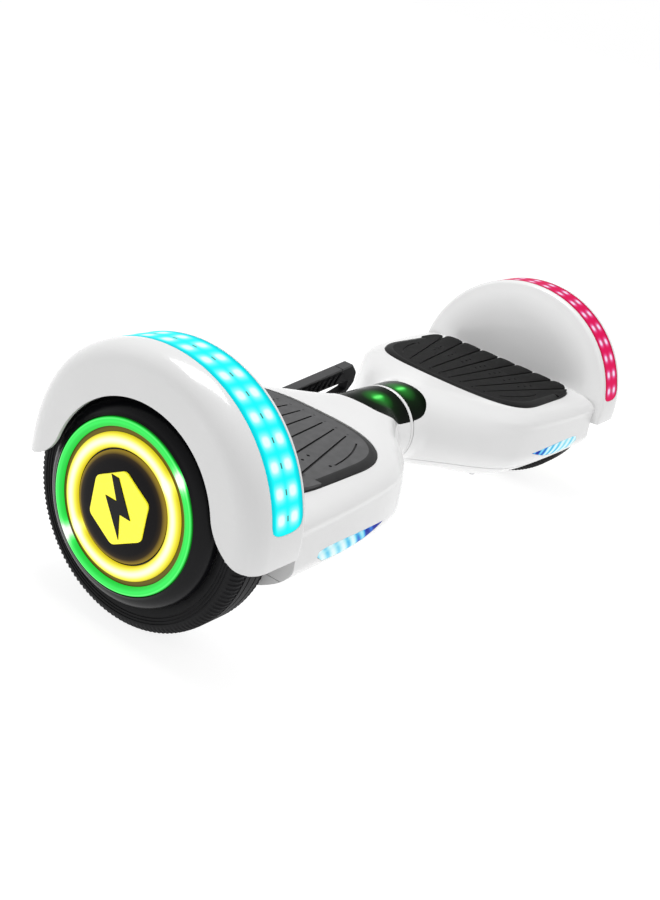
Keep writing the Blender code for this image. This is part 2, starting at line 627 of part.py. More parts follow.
def make_wheel(side, word, hub):
    """Everything that spins: the rotor of the hub motor, the tyre and the lit hub cap."""
    tyre = turned(word + "_tyre", tyre_profile(40), "tyre_rubber", side, count=40)
    rim_shape = [(0.2343, 0.0565), (0.2343, TYRE_SEAT_R - GAP), (0.2685, TYRE_SEAT_R - GAP),
                 (0.2685, 0.0150), (0.2655, 0.0150), (0.2655, 0.0565)]
    rim = turned(word + "_rim", rim_shape, "cast_aluminium", side, count=28)
    magnets = turned(word + "_magnet_ring", ring_profile(0.2385, 0.2625, 0.0530, 0.0558), "magnet", side, count=28)
    cover_shape = [(0.2318, 0.0150), (0.2318, 0.0560), (0.2328, 0.0622), (0.2340, 0.0622), (0.2340, 0.0200),
                   (0.2385, 0.0200), (0.2385, 0.0150)]
    cover = turned(word + "_motor_cover", cover_shape, "cast_aluminium", side, count=28)
    bearing = turned(word + "_wheel_bearing", ring_profile(0.2320, 0.2383, AXLE_R + GAP, 0.0147), "steel", side,
                     count=16)
    cap = turned(word + "_hub_cap", cap_profile(), "black_gloss", side, count=32)
    green = turned(word + "_green_ring", ring_profile(CAP_FACE - 0.0013, RING_FACE, 0.0485, 0.0544),
                   "green_light", side, count=32)
    yellow = turned(word + "_yellow_ring", ring_profile(CAP_FACE - 0.0013, RING_FACE, 0.0360, 0.0450),
                    "yellow_light", side, count=32)
    disc_shape = [(CAP_FACE - 0.0013, 0.0), (CAP_FACE - 0.0013, 0.0346), (CAP_FACE, 0.0346),
                  (RING_FACE + 0.0008, 0.0180), (RING_FACE + 0.0012, 0.0)]
    disc = turned(word + "_emblem_disc", disc_shape, "black_gloss", side, count=24)
    attach(hub, tyre, rim, magnets, cover, bearing, cap, green, yellow, disc)


def make_axle(side, word):
    shape = [(0.1760, 0.0), (0.1760, AXLE_R), (0.2640, AXLE_R), (0.2640, 0.0)]
    return turned(word + "_axle", shape, "steel", side, count=24)


def make_stator(side, word):
    """Laminated core with twelve wound teeth, pressed on the axle."""
    teeth, rim_r, slot_r = 12, 0.0518, 0.0380
    outline = []
    for k in range(teeth):
        base = k * math.tau / teeth
        for share, radius in ((0.06, slot_r), (0.06, rim_r), (0.50, rim_r), (0.94, rim_r), (0.94, slot_r)):
            angle = base + share * math.tau / teeth
            outline.append((radius * math.cos(angle), AXLE_Z + radius * math.sin(angle)))
    low, high = sorted((side * 0.2405, side * 0.2615))
    stator = prism(word + "_stator", outline, "X", low, high, "copper_winding")
    bore = prism(word + "_stator_bore", circle(AXLE_R + GAP, 24, (0.0, AXLE_Z)), "X", low - 0.01, high + 0.01)
    return cut(stator, bore)


# ---- Carry handle ------------------------------------------------------------------------
def make_handle(hinge):
    """A loop with a finger window, on a foot that reaches forward to the pin."""
    outside = [(0.0185, 0.0660), (0.0185, 0.0740), (0.0470, 0.0815), (0.0545, 0.0895), (0.0545, 0.0990),
               (0.0460, 0.1065), (-0.0390, 0.0950), (-0.0435, 0.0905), (-0.0390, 0.0860), (-0.0185, 0.0740),
               (-0.0185, 0.0660)]
    window = [(0.0180, 0.0785), (0.0440, 0.0850), (0.0440, 0.0930), (-0.0260, 0.0855), (-0.0180, 0.0780)]
    handle = prism("carry_handle", outside, "Y", HANDLE_FRONT, HANDLE_REAR, "black_plastic")
    foot = box("handle_foot", (-0.0185, HANDLE_PIN_Y - 0.0050, 0.0662), (0.0185, HANDLE_REAR - 0.001, 0.0745))
    add(handle, foot)
    bore = prism("handle_pin_bore", circle(0.0028, 12, (HANDLE_PIN_Y, HANDLE_PIN_Z)), "X", -0.03, 0.03)
    cut(handle, prism("handle_window", window, "Y", 0.0500, 0.0700), bore)
    attach(hinge, handle)


def make_handle_mount():
    """Bracket behind the neck: it is screwed to the left half and stands clear of the right one."""
    bracket = box("handle_bracket", (-0.0245, 0.0398, 0.0620), (0.0245, 0.0418, 0.0900), "black_plastic")
    tab = box("bracket_tab", (-0.0200, 0.0288, 0.0760), (-0.0040, 0.0405, 0.0890))
    add(bracket, tab)
    for sign in (-1, 1):
        low, high = sorted((sign * 0.0190, sign * 0.0245))
        ear = box(f"bracket_ear_{sign}", (low, 0.0410, 0.0650), (high, 0.0535, 0.0750))
        add(bracket, ear)
    bore = prism("bracket_bore", circle(0.0028, 12, (HANDLE_PIN_Y, HANDLE_PIN_Z)), "X", -0.04, 0.04)
    pin = prism("handle_pin", circle(0.0024, 12, (HANDLE_PIN_Y, HANDLE_PIN_Z)), "X", -0.0255, 0.0255, "steel")
    return cut(bracket, bore), pin


# ---- Rear controls -----------------------------------------------------------------------
def make_rear_controls(top_shell, button_slide, cover_hinge):
    port = prism("charge_port", circle(0.0085, 16, (REAR_PORT_X, REAR_Z)), "Y", 0.0740, 0.0925, "black_plastic")
    socket = prism("charge_socket", circle(0.0055, 12, (REAR_PORT_X, REAR_Z)), "Y", 0.0780, 0.1000)
    cut(port, socket)
    port_hole = prism("port_hole", circle(0.0085 + GAP, 16, (REAR_PORT_X, REAR_Z)), "Y", 0.060, 0.110)
    cap = prism("charge_cover", circle(0.0095, 16, (REAR_PORT_X, REAR_Z)), "Y", 0.0930, 0.0950, "grey_rubber")
    strap = box("cover_strap", (REAR_PORT_X - 0.003, 0.0930, 0.0830), (REAR_PORT_X + 0.003, 0.0946, 0.0885))
    tab = box("cover_tab", (REAR_PORT_X - 0.003, 0.0940, 0.0690), (REAR_PORT_X + 0.003, FENDER_R + 0.0030, 0.0710))
    add(cap, strap, tab)
    attach(cover_hinge, cap)
    button = prism("power_button", circle(0.0070, 16, (BUTTON_X, REAR_Z)), "Y", 0.0800, 0.0900, "black_gloss")
    attach(button_slide, button)
    button_hole = prism("button_hole", circle(0.0070 + GAP, 16, (BUTTON_X, REAR_Z)), "Y", 0.060, 0.110)
    cut(top_shell, port_hole, button_hole)
    return port


# ---- Assembly ----------------------------------------------------------------------------
def build():
    clear_scene()
    root = joint_empty("root_frame", (0.0, 0.0, 0.0))
    twist = joint_empty("centre_twist", (0.0, *PIVOT), root)
    halves = {-1: root, 1: twist}
    for side, word in SIDES:
        half = halves[side]
        top = make_top_shell(side, word)
        pieces = [top, make_bottom_shell(side, word), make_status_lens(side, word), make_headlight(side, word),
                  make_fender_light(side, word), make_chassis(side, word), make_axle_clamp(side, word),
                  make_gyro_board(side, word), make_axle(side, word), make_stator(side, word)]
        pieces += make_foot_switches(side, word)
        attach(half, *pieces)
        pad_slide = joint_empty(word + "_pad_slide", (side * PAD_MID, 0.0, pad_plane(PAD_MID)), half)
        attach(pad_slide, make_foot_pad(side, word))
        make_wheel(side, word, joint_empty(word + "_hub", (side * 0.250, 0.0, AXLE_Z), half))
        if side < 0:
            button_slide = joint_empty("button_slide", (BUTTON_X, 0.0850, REAR_Z), root)
            cover_hinge = joint_empty("cover_hinge", (REAR_PORT_X, 0.0938, 0.0880), root)
            attach(root, make_rear_controls(top, button_slide, cover_hinge))
    make_pivot(root, twist)
    attach(twist, make_battery())
    attach(root, make_main_board(), make_speaker(), *make_handle_mount())
    make_battery_cable().parent = root
    make_handle(joint_empty("handle_hinge", (0.0, HANDLE_PIN_Y, HANDLE_PIN_Z), root))


build()
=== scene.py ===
"""Looks of the self balancing hoverboard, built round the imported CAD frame.

+X runs along the axle, -Y is the front, +Z is up; lengths are in metres. Pieces that exist on both
sides are made by one function that takes side = -1 for left or +1 for right.
"""
import math

import bmesh
import bpy
from mathutils import Matrix, Vector


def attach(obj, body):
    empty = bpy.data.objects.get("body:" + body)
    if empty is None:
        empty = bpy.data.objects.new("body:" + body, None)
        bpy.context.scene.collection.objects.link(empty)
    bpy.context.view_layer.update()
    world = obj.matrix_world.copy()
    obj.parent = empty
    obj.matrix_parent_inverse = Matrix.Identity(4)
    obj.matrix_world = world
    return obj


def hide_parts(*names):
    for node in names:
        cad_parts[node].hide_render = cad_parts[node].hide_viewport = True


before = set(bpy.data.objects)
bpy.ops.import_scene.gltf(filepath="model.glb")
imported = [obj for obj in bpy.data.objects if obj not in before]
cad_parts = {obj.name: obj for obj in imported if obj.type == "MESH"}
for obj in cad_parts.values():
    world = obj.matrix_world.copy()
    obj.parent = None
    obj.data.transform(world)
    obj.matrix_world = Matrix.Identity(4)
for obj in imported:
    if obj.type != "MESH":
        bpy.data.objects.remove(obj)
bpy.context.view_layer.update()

# ---- Driving dimensions, the same as the CAD's -----------------------------------------------
# A table pairs |x| with a value; *_Z is a height, *_R a radius and *_POWER a superellipse's exponent.
SIDES = ((-1, "left"), (1, "right"))
HALF = {-1: "left_half", 1: "right_half"}
WHEEL_R = AXLE_Z = 0.0825
GAP = 0.0003
SKIN = 0.0025
NECK_END = 0.0025
FRONT_WIDTH = ((0.0, 0.0348), (0.020, 0.0358), (0.034, 0.0440), (0.050, 0.0562), (0.070, 0.0712),
               (0.100, 0.0856), (0.140, 0.0910), (0.190, 0.0938), (0.235, 0.0950))
REAR_WIDTH = ((0.0, 0.0268), (0.025, 0.0284), (0.040, 0.0335), (0.055, 0.0450), (0.070, 0.0590),
              (0.085, 0.0715), (0.100, 0.0815), (0.140, 0.0905), (0.190, 0.0938), (0.235, 0.0950))
TOP_Z = ((0.0, 0.1178), (0.025, 0.1172), (0.045, 0.1158), (0.065, 0.1138), (0.090, 0.1120),
         (0.120, 0.1110), (0.235, 0.1081))
BOTTOM_Z = ((0.0, 0.0562), (0.020, 0.0545), (0.040, 0.0500), (0.060, 0.0470), (0.090, 0.0395),
            (0.130, 0.0360), (0.235, 0.0360))
WIDEST_Z = ((0.0, 0.0870), (0.020, 0.0865), (0.045, 0.0835), (0.100, 0.0760), (0.235, 0.0740))
TOP_POWER = ((0.0, 2.0), (0.025, 2.05), (0.045, 2.3), (0.070, 3.3), (0.120, 6.0), (0.235, 6.5))
BOTTOM_POWER = ((0.0, 2.0), (0.030, 2.0), (0.070, 2.12), (0.150, 2.0), (0.235, 1.8))
CREASE_DEPTH = ((0.0, 0.0), (0.050, 0.0), (0.095, 0.0016), (0.235, 0.0020))
BELLY_CUT = 0.0012
ROOF = 0.0085
PARTING_Z = 0.0620
BODY_END = 0.2295
FENDER_Y, FENDER_Z, FENDER_R = -0.0030, 0.0875, 0.0958
FENDER_FIRST, FENDER_LAST = -1.5, 181.5
FENDER_SIDE, FENDER_WALL = 0.2840, 0.2285
STRIP_IN, STRIP_OUT, STRIP_DEPTH = 0.2377, 0.2666, 0.0035
STRIP_FIRST, STRIP_LAST = 11.0, 140.0
STRIP_CORNER, STRIP_POWER = 0.0075, 2.6
TAIL_FIRST = 125.0
ARCH_Y, ARCH_Z, ARCH_R, ARCH_FOOT = -0.0057, 0.0887, 0.0632, 0.0850
FRONT_LOBE, REAR_LOBE = 0.0360, 0.0270
PIVOT, RING_R = (-0.0040, 0.0870), 0.0308
PAD_Z, PAD_REF, PAD_SLOPE = 0.1108, 0.120, 0.0272
PAD_IN, PAD_MID, PAD_OUT, PAD_HALF = 0.0870, 0.1470, 0.2268, 0.0730
PAD_INNER_POWER, PAD_OUTER_POWER = 2.9, 6.0
PAD_THICK, PAD_TRAVEL, PAD_RISE = 0.0042, 0.0012, 0.0016
TYRE_IN, TYRE_OUT, TYRE_SEAT_R = 0.2315, 0.2685, 0.0640
CAP_FACE, RING_FACE = 0.2805, 0.2815
REAR_PORT_X, BUTTON_X, REAR_Z = -0.160, -0.122, 0.0760
AXLE_HOLE_R, PORT_HOLE_R, BUTTON_HOLE_R = 0.0095, 0.0088, 0.0073
LENS_HALF, LENS_OVERRUN = 0.0270, 0.0050
LENS_REACH = {-1: (0.0465, 5.0), 1: (0.0290, 4.0)}
LENS_SPAN, LAMP_SPAN = (0.0925, 0.140), (-0.120, -0.060)


# ---- Camera, first ---------------------------------------------------------------------------
def make_camera():
    """A 46.46 mm lens on a 36 mm sensor, rolled because the board leans forward in the view."""
    data = bpy.data.cameras.new("camera")
    data.lens = 46.46
    data.sensor_width = 36.0
    data.sensor_fit = "AUTO"
    data.clip_start = 0.01
    camera = bpy.data.objects.new("camera", data)
    bpy.context.scene.collection.objects.link(camera)
    right = Vector((0.55499, -0.79418, 0.24752)).normalized()
    ahead = Vector((0.81147, 0.45138, -0.37119)).normalized()
    up = right.cross(ahead).normalized()
    turn = Matrix((right, up, -ahead)).transposed().to_4x4()
    camera.matrix_world = Matrix.Translation((-0.75898, -0.39099, 0.39581)) @ turn
    bpy.context.scene.camera = camera


# ---- Materials -------------------------------------------------------------------------------
MATERIALS = {}


def shader_of(name):
    made = bpy.data.materials.new(name)
    made.use_nodes = True
    nodes, links = made.node_tree.nodes, made.node_tree.links
    return made, nodes, links, nodes["Principled BSDF"]


def put(node, **values):
    """Set a node's inputs; an underscore in a name stands for a space."""
    for name, value in values.items():
        node.inputs[name.replace("_", " ")].default_value = value


def noise(nodes, links, scale, detail=3.0, stretch=None):
    place = nodes.new("ShaderNodeTexCoord")
    source = place.outputs["Object"]
    if stretch:
        mapping = nodes.new("ShaderNodeMapping")
        put(mapping, Scale=stretch)
        links.new(source, mapping.inputs["Vector"])
        source = mapping.outputs["Vector"]
    made = nodes.new("ShaderNodeTexNoise")
    put(made, Scale=scale, Detail=detail)
    links.new(source, made.inputs["Vector"])
    return made.outputs["Fac"]


def ramp(nodes, links, source, stops):
    made = nodes.new("ShaderNodeValToRGB")
    ends = made.color_ramp.elements
    while len(ends) < len(stops):
        ends.new(0.5)
    for element, (place, colour) in zip(ends, stops):
        element.position = place
        element.color = (*colour, 1.0)
    links.new(source, made.inputs["Fac"])
    return made.outputs["Color"]


def roughen(nodes, links, shader, height, strength, distance):
    """Bump the shaded surface by a height; returns the bump node."""
    relief = nodes.new("ShaderNodeBump")
    put(relief, Strength=strength, Distance=distance)
    links.new(height, relief.inputs["Height"])
    links.new(relief.outputs["Normal"], shader.inputs["Normal"])
    return relief


def surface(name, colour, vary=0.08, roughness=0.5, rough_vary=0.06, grain=400.0, bump=0.05,
            bump_size=0.0002, edge=0.0005, metallic=0.0, coat=0.0, stretch=None, gloss=0.5):
    """Plain moulded, cast or turned stuff: colour and gloss that vary, a fine grain, rounded edges."""
    if name in MATERIALS:
        return MATERIALS[name]
    made, nodes, links, shader = shader_of(name)
    broad = noise(nodes, links, grain / 12, 4.0)
    low = tuple(c * (1 - vary) for c in colour)
    high = tuple(min(1.0, c * (1 + vary)) for c in colour)
    links.new(ramp(nodes, links, broad, ((0.3, low), (0.7, high))), shader.inputs["Base Color"])
    spread = nodes.new("ShaderNodeMapRange")
    put(spread, To_Min=roughness - rough_vary, To_Max=roughness + rough_vary)
    links.new(broad, spread.inputs["Value"])
    links.new(spread.outputs["Result"], shader.inputs["Roughness"])
    relief = roughen(nodes, links, shader, noise(nodes, links, grain, 3.0, stretch), bump, bump_size)
    if edge:
        rounded = nodes.new("ShaderNodeBevel")
        rounded.samples = 4
        put(rounded, Radius=edge)
        links.new(rounded.outputs["Normal"], relief.inputs["Normal"])
    put(shader, Metallic=metallic, Specular_IOR_Level=gloss, Coat_Weight=coat, Coat_Roughness=0.04)
    MATERIALS[name] = made
    return made


def glowing(name, stops, base, roughness=0.25, gloss=0.25):
    """Lit plastic, and dark plastic with painted light on it: the emitted colour follows the mesh's own
    glow value, from 0 to 1.
    """
    if name in MATERIALS:
        return MATERIALS[name]
    made, nodes, links, shader = shader_of(name)
    value = nodes.new("ShaderNodeAttribute")
    value.attribute_name = "glow"
    links.new(ramp(nodes, links, value.outputs["Fac"], stops), shader.inputs["Emission Color"])
    put(shader, Emission_Strength=1.0, Base_Color=(*base, 1.0), Roughness=roughness,
        Specular_IOR_Level=gloss)
    roughen(nodes, links, shader, noise(nodes, links, 500.0), 0.02, 0.0002)
    MATERIALS[name] = made
    return made


def white_shell():
    return surface("white_shell", (0.73, 0.73, 0.73), 0.012, 0.22, 0.03, 260.0, 0.02, 0.0002, 0.0007,
                   coat=0.5)


def black_gloss():
    return surface("black_gloss", (0.004, 0.004, 0.005), 0.10, 0.26, 0.05, 300.0, 0.03, gloss=0.18)


def black_satin():
    return surface("black_satin", (0.006, 0.006, 0.007), 0.20, 0.48, 0.06, 1500.0, 0.25, gloss=0.12)


def tyre_rubber():
    return surface("tyre_rubber", (0.008, 0.008, 0.009), 0.25, 0.60, 0.08, 1200.0, 0.35, edge=0.0,
                   gloss=0.16)


def pad_rubber(side):
    # Painted light and shade: one rubber in two greys, the left mat and its ribs painted lighter, the right
    # painted darker.
    name, grey = ("left_pad_rubber_painted_light", 0.095) if side < 0 else ("right_pad_rubber_painted_shade", 0.007)
    return surface(name, (grey, grey, grey * 1.02), 0.12, 0.62, 0.08, 1600.0, 0.35, edge=0.0004, gloss=0.10)


# Painted shade: the pad's bevelled rim gets darker rubber where its slope faces away from the light; left
# and right greys differ as painted light too.
def shaded_rim_rubber(side):
    name, grey = ("left_rim_painted_shade", 0.022) if side < 0 else ("right_rim_painted_shade", 0.008)
    return surface(name, (grey, grey, grey * 1.02), 0.12, 0.50, 0.08, 1600.0, 0.30, edge=0.0004, gloss=0.15)


# ---- Mesh helpers ----------------------------------------------------------------------------
def finish_mesh(name, bm, look, sharp=35.0):
    bmesh.ops.remove_doubles(bm, verts=bm.verts, dist=1e-6)
    bmesh.ops.recalc_face_normals(bm, faces=bm.faces)
    mesh = bpy.data.meshes.new(name)
    bm.to_mesh(mesh)
    bm.free()
    mesh.shade_smooth()
    mesh.set_sharp_from_angle(angle=math.radians(sharp))
    if look:
        mesh.materials.append(look)
    made = bpy.data.objects.new(name, mesh)
    bpy.context.scene.collection.objects.link(made)
    return made


def loft(name, rings, look=None, sharp=35.0):
    bm = bmesh.new()
    rows = [[bm.verts.new(point) for point in ring] for ring in rings]
    count = len(rows[0])
    for row, following in zip(rows, rows[1:]):
        for i in range(count):
            j = (i + 1) % count
            bm.faces.new((row[i], row[j], following[j], following[i]))
    bm.faces.new(rows[0])
    bm.faces.new(rows[-1])
    return finish_mesh(name, bm, look, sharp)


def prism(name, outline, axis, low, high, look=None, edge=0.0):
    """Extrude an outline; a non-zero edge pulls the outline in at both ends, as a chamfer."""
    order = {"X": lambda p, h: (h, p[0], p[1]), "Y": lambda p, h: (p[0], h, p[1]),
             "Z": lambda p, h: (p[0], p[1], h)}[axis]
    if not edge:
        return loft(name, [[order(p, h) for p in outline] for h in (low, high)], look)
    inner = shrink(outline, edge)
    levels = ((inner, low), (outline, low + edge), (outline, high - edge), (inner, high))
    return loft(name, [[order(p, h) for p in ring] for ring, h in levels], look)


def shrink(outline, amount):
    """Move each corner of an outline inwards by about the amount."""
    area = sum(a[0] * b[1] - b[0] * a[1] for a, b in zip(outline, outline[1:] + outline[:1]))
    turn = 1.0 if area > 0 else -1.0
    moved = []
    for i, point in enumerate(outline):
        before, after = outline[i - 1], outline[(i + 1) % len(outline)]
        one = Vector((point[0] - before[0], point[1] - before[1])).normalized()
        two = Vector((after[0] - point[0], after[1] - point[1])).normalized()
        normal = Vector((-(one.y + two.y), one.x + two.x)) * turn
        normal.normalize()
        moved.append((point[0] + normal.x * amount, point[1] + normal.y * amount))
    return moved


def box(name, low, high, look=None, edge=0.0):
    outline = [(low[0], low[1]), (high[0], low[1]), (high[0], high[1]), (low[0], high[1])]
    return prism(name, outline, "Z", low[2], high[2], look, edge)


def circle(radius, count, centre=(0.0, 0.0)):
    turns = [(i + 0.5) * math.tau / count for i in range(count)]
    return [(centre[0] + radius * math.cos(t), centre[1] + radius * math.sin(t)) for t in turns]


def arc(centre, radii, start, end, count):
    points = []
    for k in range(count + 1):
        angle = math.radians(start + (end - start) * k / count)
        points.append((centre[0] + radii[0] * math.cos(angle), centre[1] + radii[1] * math.sin(angle)))
    return points


def turned(name, profile, look=None, side=1, count=160, change=None, sharp=35.0, centre=(0.0, AXLE_Z)):
    """Spin a closed (|x|, radius) profile; change(x, r, share) may move a point's radius by turn."""
    bm = bmesh.new()
    rows = []
    for k in range(count):
        share = (k + 0.5) / count
        angle = math.tau * share
        row = []
        for x, r in profile:
            radius = change(x, r, share) if change else r
            row.append(bm.verts.new((side * x, centre[0] - radius * math.cos(angle),
                                     centre[1] + radius * math.sin(angle))))
        rows.append(row)
    size = len(profile)
    for row, following in zip(rows, rows[1:] + rows[:1]):
        for i in range(size):
            j = (i + 1) % size
            if profile[i][1] == 0.0 and profile[j][1] == 0.0:
                continue
            bm.faces.new((row[i], row[j], following[j], following[i]))
    return finish_mesh(name, bm, look, sharp)


def carve(target, *steps, sharp=35.0):
    """Apply (operation, other) booleans, then keep only the resulting mesh."""
    for operation, other in steps:
        modifier = target.modifiers.new(other.name, "BOOLEAN")
        modifier.operation = operation
        modifier.object = other
        modifier.solver = "MANIFOLD"
    bpy.context.view_layer.update()
    graph = bpy.context.evaluated_depsgraph_get()
    mesh = bpy.data.meshes.new_from_object(target.evaluated_get(graph))
    look = [slot.material for slot in target.material_slots]
    target.modifiers.clear()
    old = target.data
    target.data = mesh
    bpy.data.meshes.remove(old)
    for _, other in steps:
        bpy.data.objects.remove(other, do_unlink=True)
    mesh.materials.clear()
    for each in look:
        mesh.materials.append(each)
    for polygon in mesh.polygons:
        polygon.material_index = 0
    mesh.shade_smooth()
    mesh.set_sharp_from_angle(angle=math.radians(sharp))
    return target


def paint(piece, value_at):
    """Store a glow value from 0 to 1 on every point of a mesh."""
    mesh = piece.data
    stored = mesh.attributes.new("glow", "FLOAT", "POINT")
    for vertex, entry in zip(mesh.vertices, stored.data):
        entry.value = max(0.0, min(1.0, value_at(vertex.co)))
    return piece


def join(name, pieces, look=None):
    """Merge several bare meshes into the first one, which then takes the look."""
    bm = bmesh.new()
    for piece in pieces:
        bm.from_mesh(piece.data)
    first = pieces[0]
    bm.to_mesh(first.data)
    bm.free()
    first.name = name
    if look:
        first.data.materials.append(look)
    for piece in pieces[1:]:
        bpy.data.objects.remove(piece, do_unlink=True)
    return first


def keep(piece, body, slot, *nodes):
    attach(piece, body)
    if nodes:
        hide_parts(*nodes)
    return piece


# ---- Body surface ----------------------------------------------------------------------------
def along(knots, x):
    """Smooth curve through (x, value) knots that never overshoots between them."""
    if x <= knots[0][0]:
        return knots[0][1]
    if x >= knots[-1][0]:
        return knots[-1][1]
    slopes = [(b[1] - a[1]) / (b[0] - a[0]) for a, b in zip(knots, knots[1:])]
    tangents = [slopes[0]]
    for before, after in zip(slopes, slopes[1:]):
        tangents.append(0.0 if before * after <= 0 else 2 * before * after / (before + after))
    tangents.append(slopes[-1])
    for i, (a, b) in enumerate(zip(knots, knots[1:])):
        if x <= b[0]:
            span = b[0] - a[0]
            t = (x - a[0]) / span
            return ((2 * t**3 - 3 * t**2 + 1) * a[1] + (t**3 - 2 * t**2 + t) * span * tangents[i]
                    + (3 * t**2 - 2 * t**3) * b[1] + (t**3 - t**2) * span * tangents[i + 1])
    return knots[-1][1]


def smooth(low, high, value):
    """0 below low, 1 above high, with an S curve between."""
    share = min(1.0, max(0.0, (value - low) / (high - low)))
    return share * share * (3 - 2 * share)


def crease(x, z):
    """How far the flank steps in just under the rounded shoulder, fading downwards."""
    drop = along(TOP_Z, x) - z
    return along(CREASE_DEPTH, x) * smooth(0.0085, 0.0150, drop) * (1 - smooth(0.0170, 0.0420, drop))


def section(side, x, count, inset=0.0, roof=0.0, creased=True):
    """Ring of points round the body at |x|; inset and roof thin it for the cavity inside."""
    front, rear = along(FRONT_WIDTH, x), along(REAR_WIDTH, x)
    centre, wide = (rear - front) / 2, (rear + front) / 2 - inset
    middle = along(WIDEST_Z, x)
    top = along(TOP_Z, x) - roof
    bottom = along(BOTTOM_Z, x) + inset
    floor = bottom + BELLY_CUT
    powers = (along(TOP_POWER, x), along(BOTTOM_POWER, x))
    points = []
    for i in range(count):
        angle = math.tau * i / count
        across, up = math.cos(angle), math.sin(angle)
        power = powers[0] if up > 0 else powers[1]
        reach = (top - middle) if up > 0 else (middle - bottom)
        off = wide * math.copysign(abs(across) ** (2 / power), across)
        z = middle + reach * math.copysign(abs(up) ** (2 / power), up)
        if creased:
            off -= math.copysign(crease(x, z), off)
        points.append((side * x, centre + off, max(z, floor)))
    return points


def body_solid(name, side, look=None, count=144, stations=84):
    rings = []
    for k in range(stations + 1):
        share = k / stations
        rings.append(section(side, NECK_END + (BODY_END - NECK_END) * share, count))
    return loft(name, rings, look)


def roof_at(x):
    """Thickness over the cavity: a skin at the neck, deeper where the pad's pocket is sunk."""
    return along(((0.0, SKIN), (0.050, SKIN), (0.085, ROOF), (0.235, ROOF)), x)


def cavity_solid(name, side):
    stations = [0.2265 * k / 20 for k in range(21)]
    return loft(name, [section(side, x, 48, SKIN, roof_at(x), False) for x in stations])


def fender_profile(angle):
    """(|x|, radius) across the fender; its shoulder grows rounder towards the tail."""
    tail = smooth(TAIL_FIRST, 180.0, angle)
    start = STRIP_OUT - 0.0186 * tail
    side_r = FENDER_R - 0.0145 - 0.0115 * tail
    shoulder = arc((start, side_r), (FENDER_SIDE - start, FENDER_R - side_r), 90, 0, 14)
    inner = arc((STRIP_IN, FENDER_R - 0.0040), (0.0040, 0.0040), 180, 90, 6)
    inner = [(x - 0.0008, r) for x, r in inner]
    wall = [(FENDER_WALL, 0.0), (FENDER_WALL, 0.0660), (0.2290, 0.0780), (0.2312, 0.0865)]
    return wall + inner + shoulder + [(FENDER_SIDE, 0.0)]


def fender_solid(name, side, steps=120):
    rings = []
    for k in range(steps + 1):
        angle = FENDER_FIRST + (FENDER_LAST - FENDER_FIRST) * k / steps
        turn = math.radians(angle)
        rings.append([(side * x, FENDER_Y - r * math.cos(turn), FENDER_Z + r * math.sin(turn))
                      for x, r in fender_profile(angle)])
    return loft(name, rings)


# (|x|, radius) of the hollow that the wheel turns in.
WELL = [(0.2300, 0.0), (0.2300, 0.0660), (0.2308, 0.0780), (0.2340, 0.0855), (0.2385, 0.0880),
        (0.2700, 0.0880), (0.2740, 0.0830), (0.2790, 0.0740), (0.2815, 0.0680), (0.2815, 0.0)]


def arch_outline():
    """(y, z) of the opening in the fender's side: a round arch that flares to rounded lobes."""
    ends = []
    for lobe in (REAR_LOBE, FRONT_LOBE):
        lean = math.asin((ARCH_FOOT + lobe - ARCH_Z) / (ARCH_R + lobe))
        out, start = (ARCH_R + lobe) * math.cos(lean), math.degrees(lean)
        curve = arc((out, ARCH_FOOT + lobe), (lobe, lobe), 270, 180 + start, 24)
        round_part = arc((0.0, ARCH_Z), (ARCH_R, ARCH_R), start, 90, 30)[1:]
        ends.append([(out, ARCH_FOOT - 0.010)] + curve + round_part)
    rear, front = ends
    return [(ARCH_Y + y, z) for y, z in rear + [(-y, z) for y, z in front[-2::-1]]]


def pad_plane(x):
    """Height of the deck's pad seat, which falls towards the wheel."""
    return PAD_Z - PAD_SLOPE * (x - PAD_REF)


def pad_outline(grow=0.0, count=28):
    """(|x|, y) of a foot pad: a broad nose inboard and nearly square corners outboard."""
    half = []
    for k in range(count + 1):
        angle = math.radians(90.0 * k / count)
        half.append((PAD_MID - (PAD_MID - PAD_IN + grow) * math.cos(angle) ** (2 / PAD_INNER_POWER),
                     (PAD_HALF + grow) * math.sin(angle) ** (2 / PAD_INNER_POWER)))
    for k in range(1, count + 1):
        angle = math.radians(90.0 * k / count)
        half.append((PAD_MID + (PAD_OUT - PAD_MID + grow) * math.sin(angle) ** (2 / PAD_OUTER_POWER),
                     (PAD_HALF + grow) * math.cos(angle) ** (2 / PAD_OUTER_POWER) if k < count else 0.0))
    return half + [(x, -y) for x, y in half[-2:0:-1]]


def pad_ring(side, outline, drop):
    return [(side * x, y, pad_plane(x) - drop) for x, y in outline]


def lens_outline(side, grow=0.0, count=32):
    """(x, y) of a status lens seen from above: widest at the centre ring, blunt outboard."""
    reach, power = LENS_REACH[side]
    half = []
    for k in range(count + 1):
        x = reach * math.sin(math.radians(90.0 * k / count))
        wide = LENS_HALF * max(0.0, 1 - (x / reach) ** power) ** (1 / power)
        past = grow if k else -LENS_OVERRUN
        half.append((NECK_END + GAP + x * (1 - NECK_END / reach) + past, wide + grow))
    half[-1] = (half[-1][0], 0.0)
    return [(side * x, PIVOT[0] + y) for x, y in half + [(x, -y) for x, y in half[-2::-1]]]


def headlight_outline(side, grow=0.0):
    """(x, z) of a front lamp: a leaf, pointed inboard and blunt outboard."""
    upper = [(0.1200 - grow, 0.0752), (0.1400, 0.0763 + grow), (0.1700, 0.0778 + grow),
             (0.1920, 0.0785 + grow), (0.2030 + grow, 0.0775 + grow)]
    lower = [(0.2040 + grow, 0.0742), (0.1950, 0.0690 - grow), (0.1700, 0.0668 - grow),
             (0.1450, 0.0692 - grow)]
    return [(side * x, z) for x, z in upper + lower]


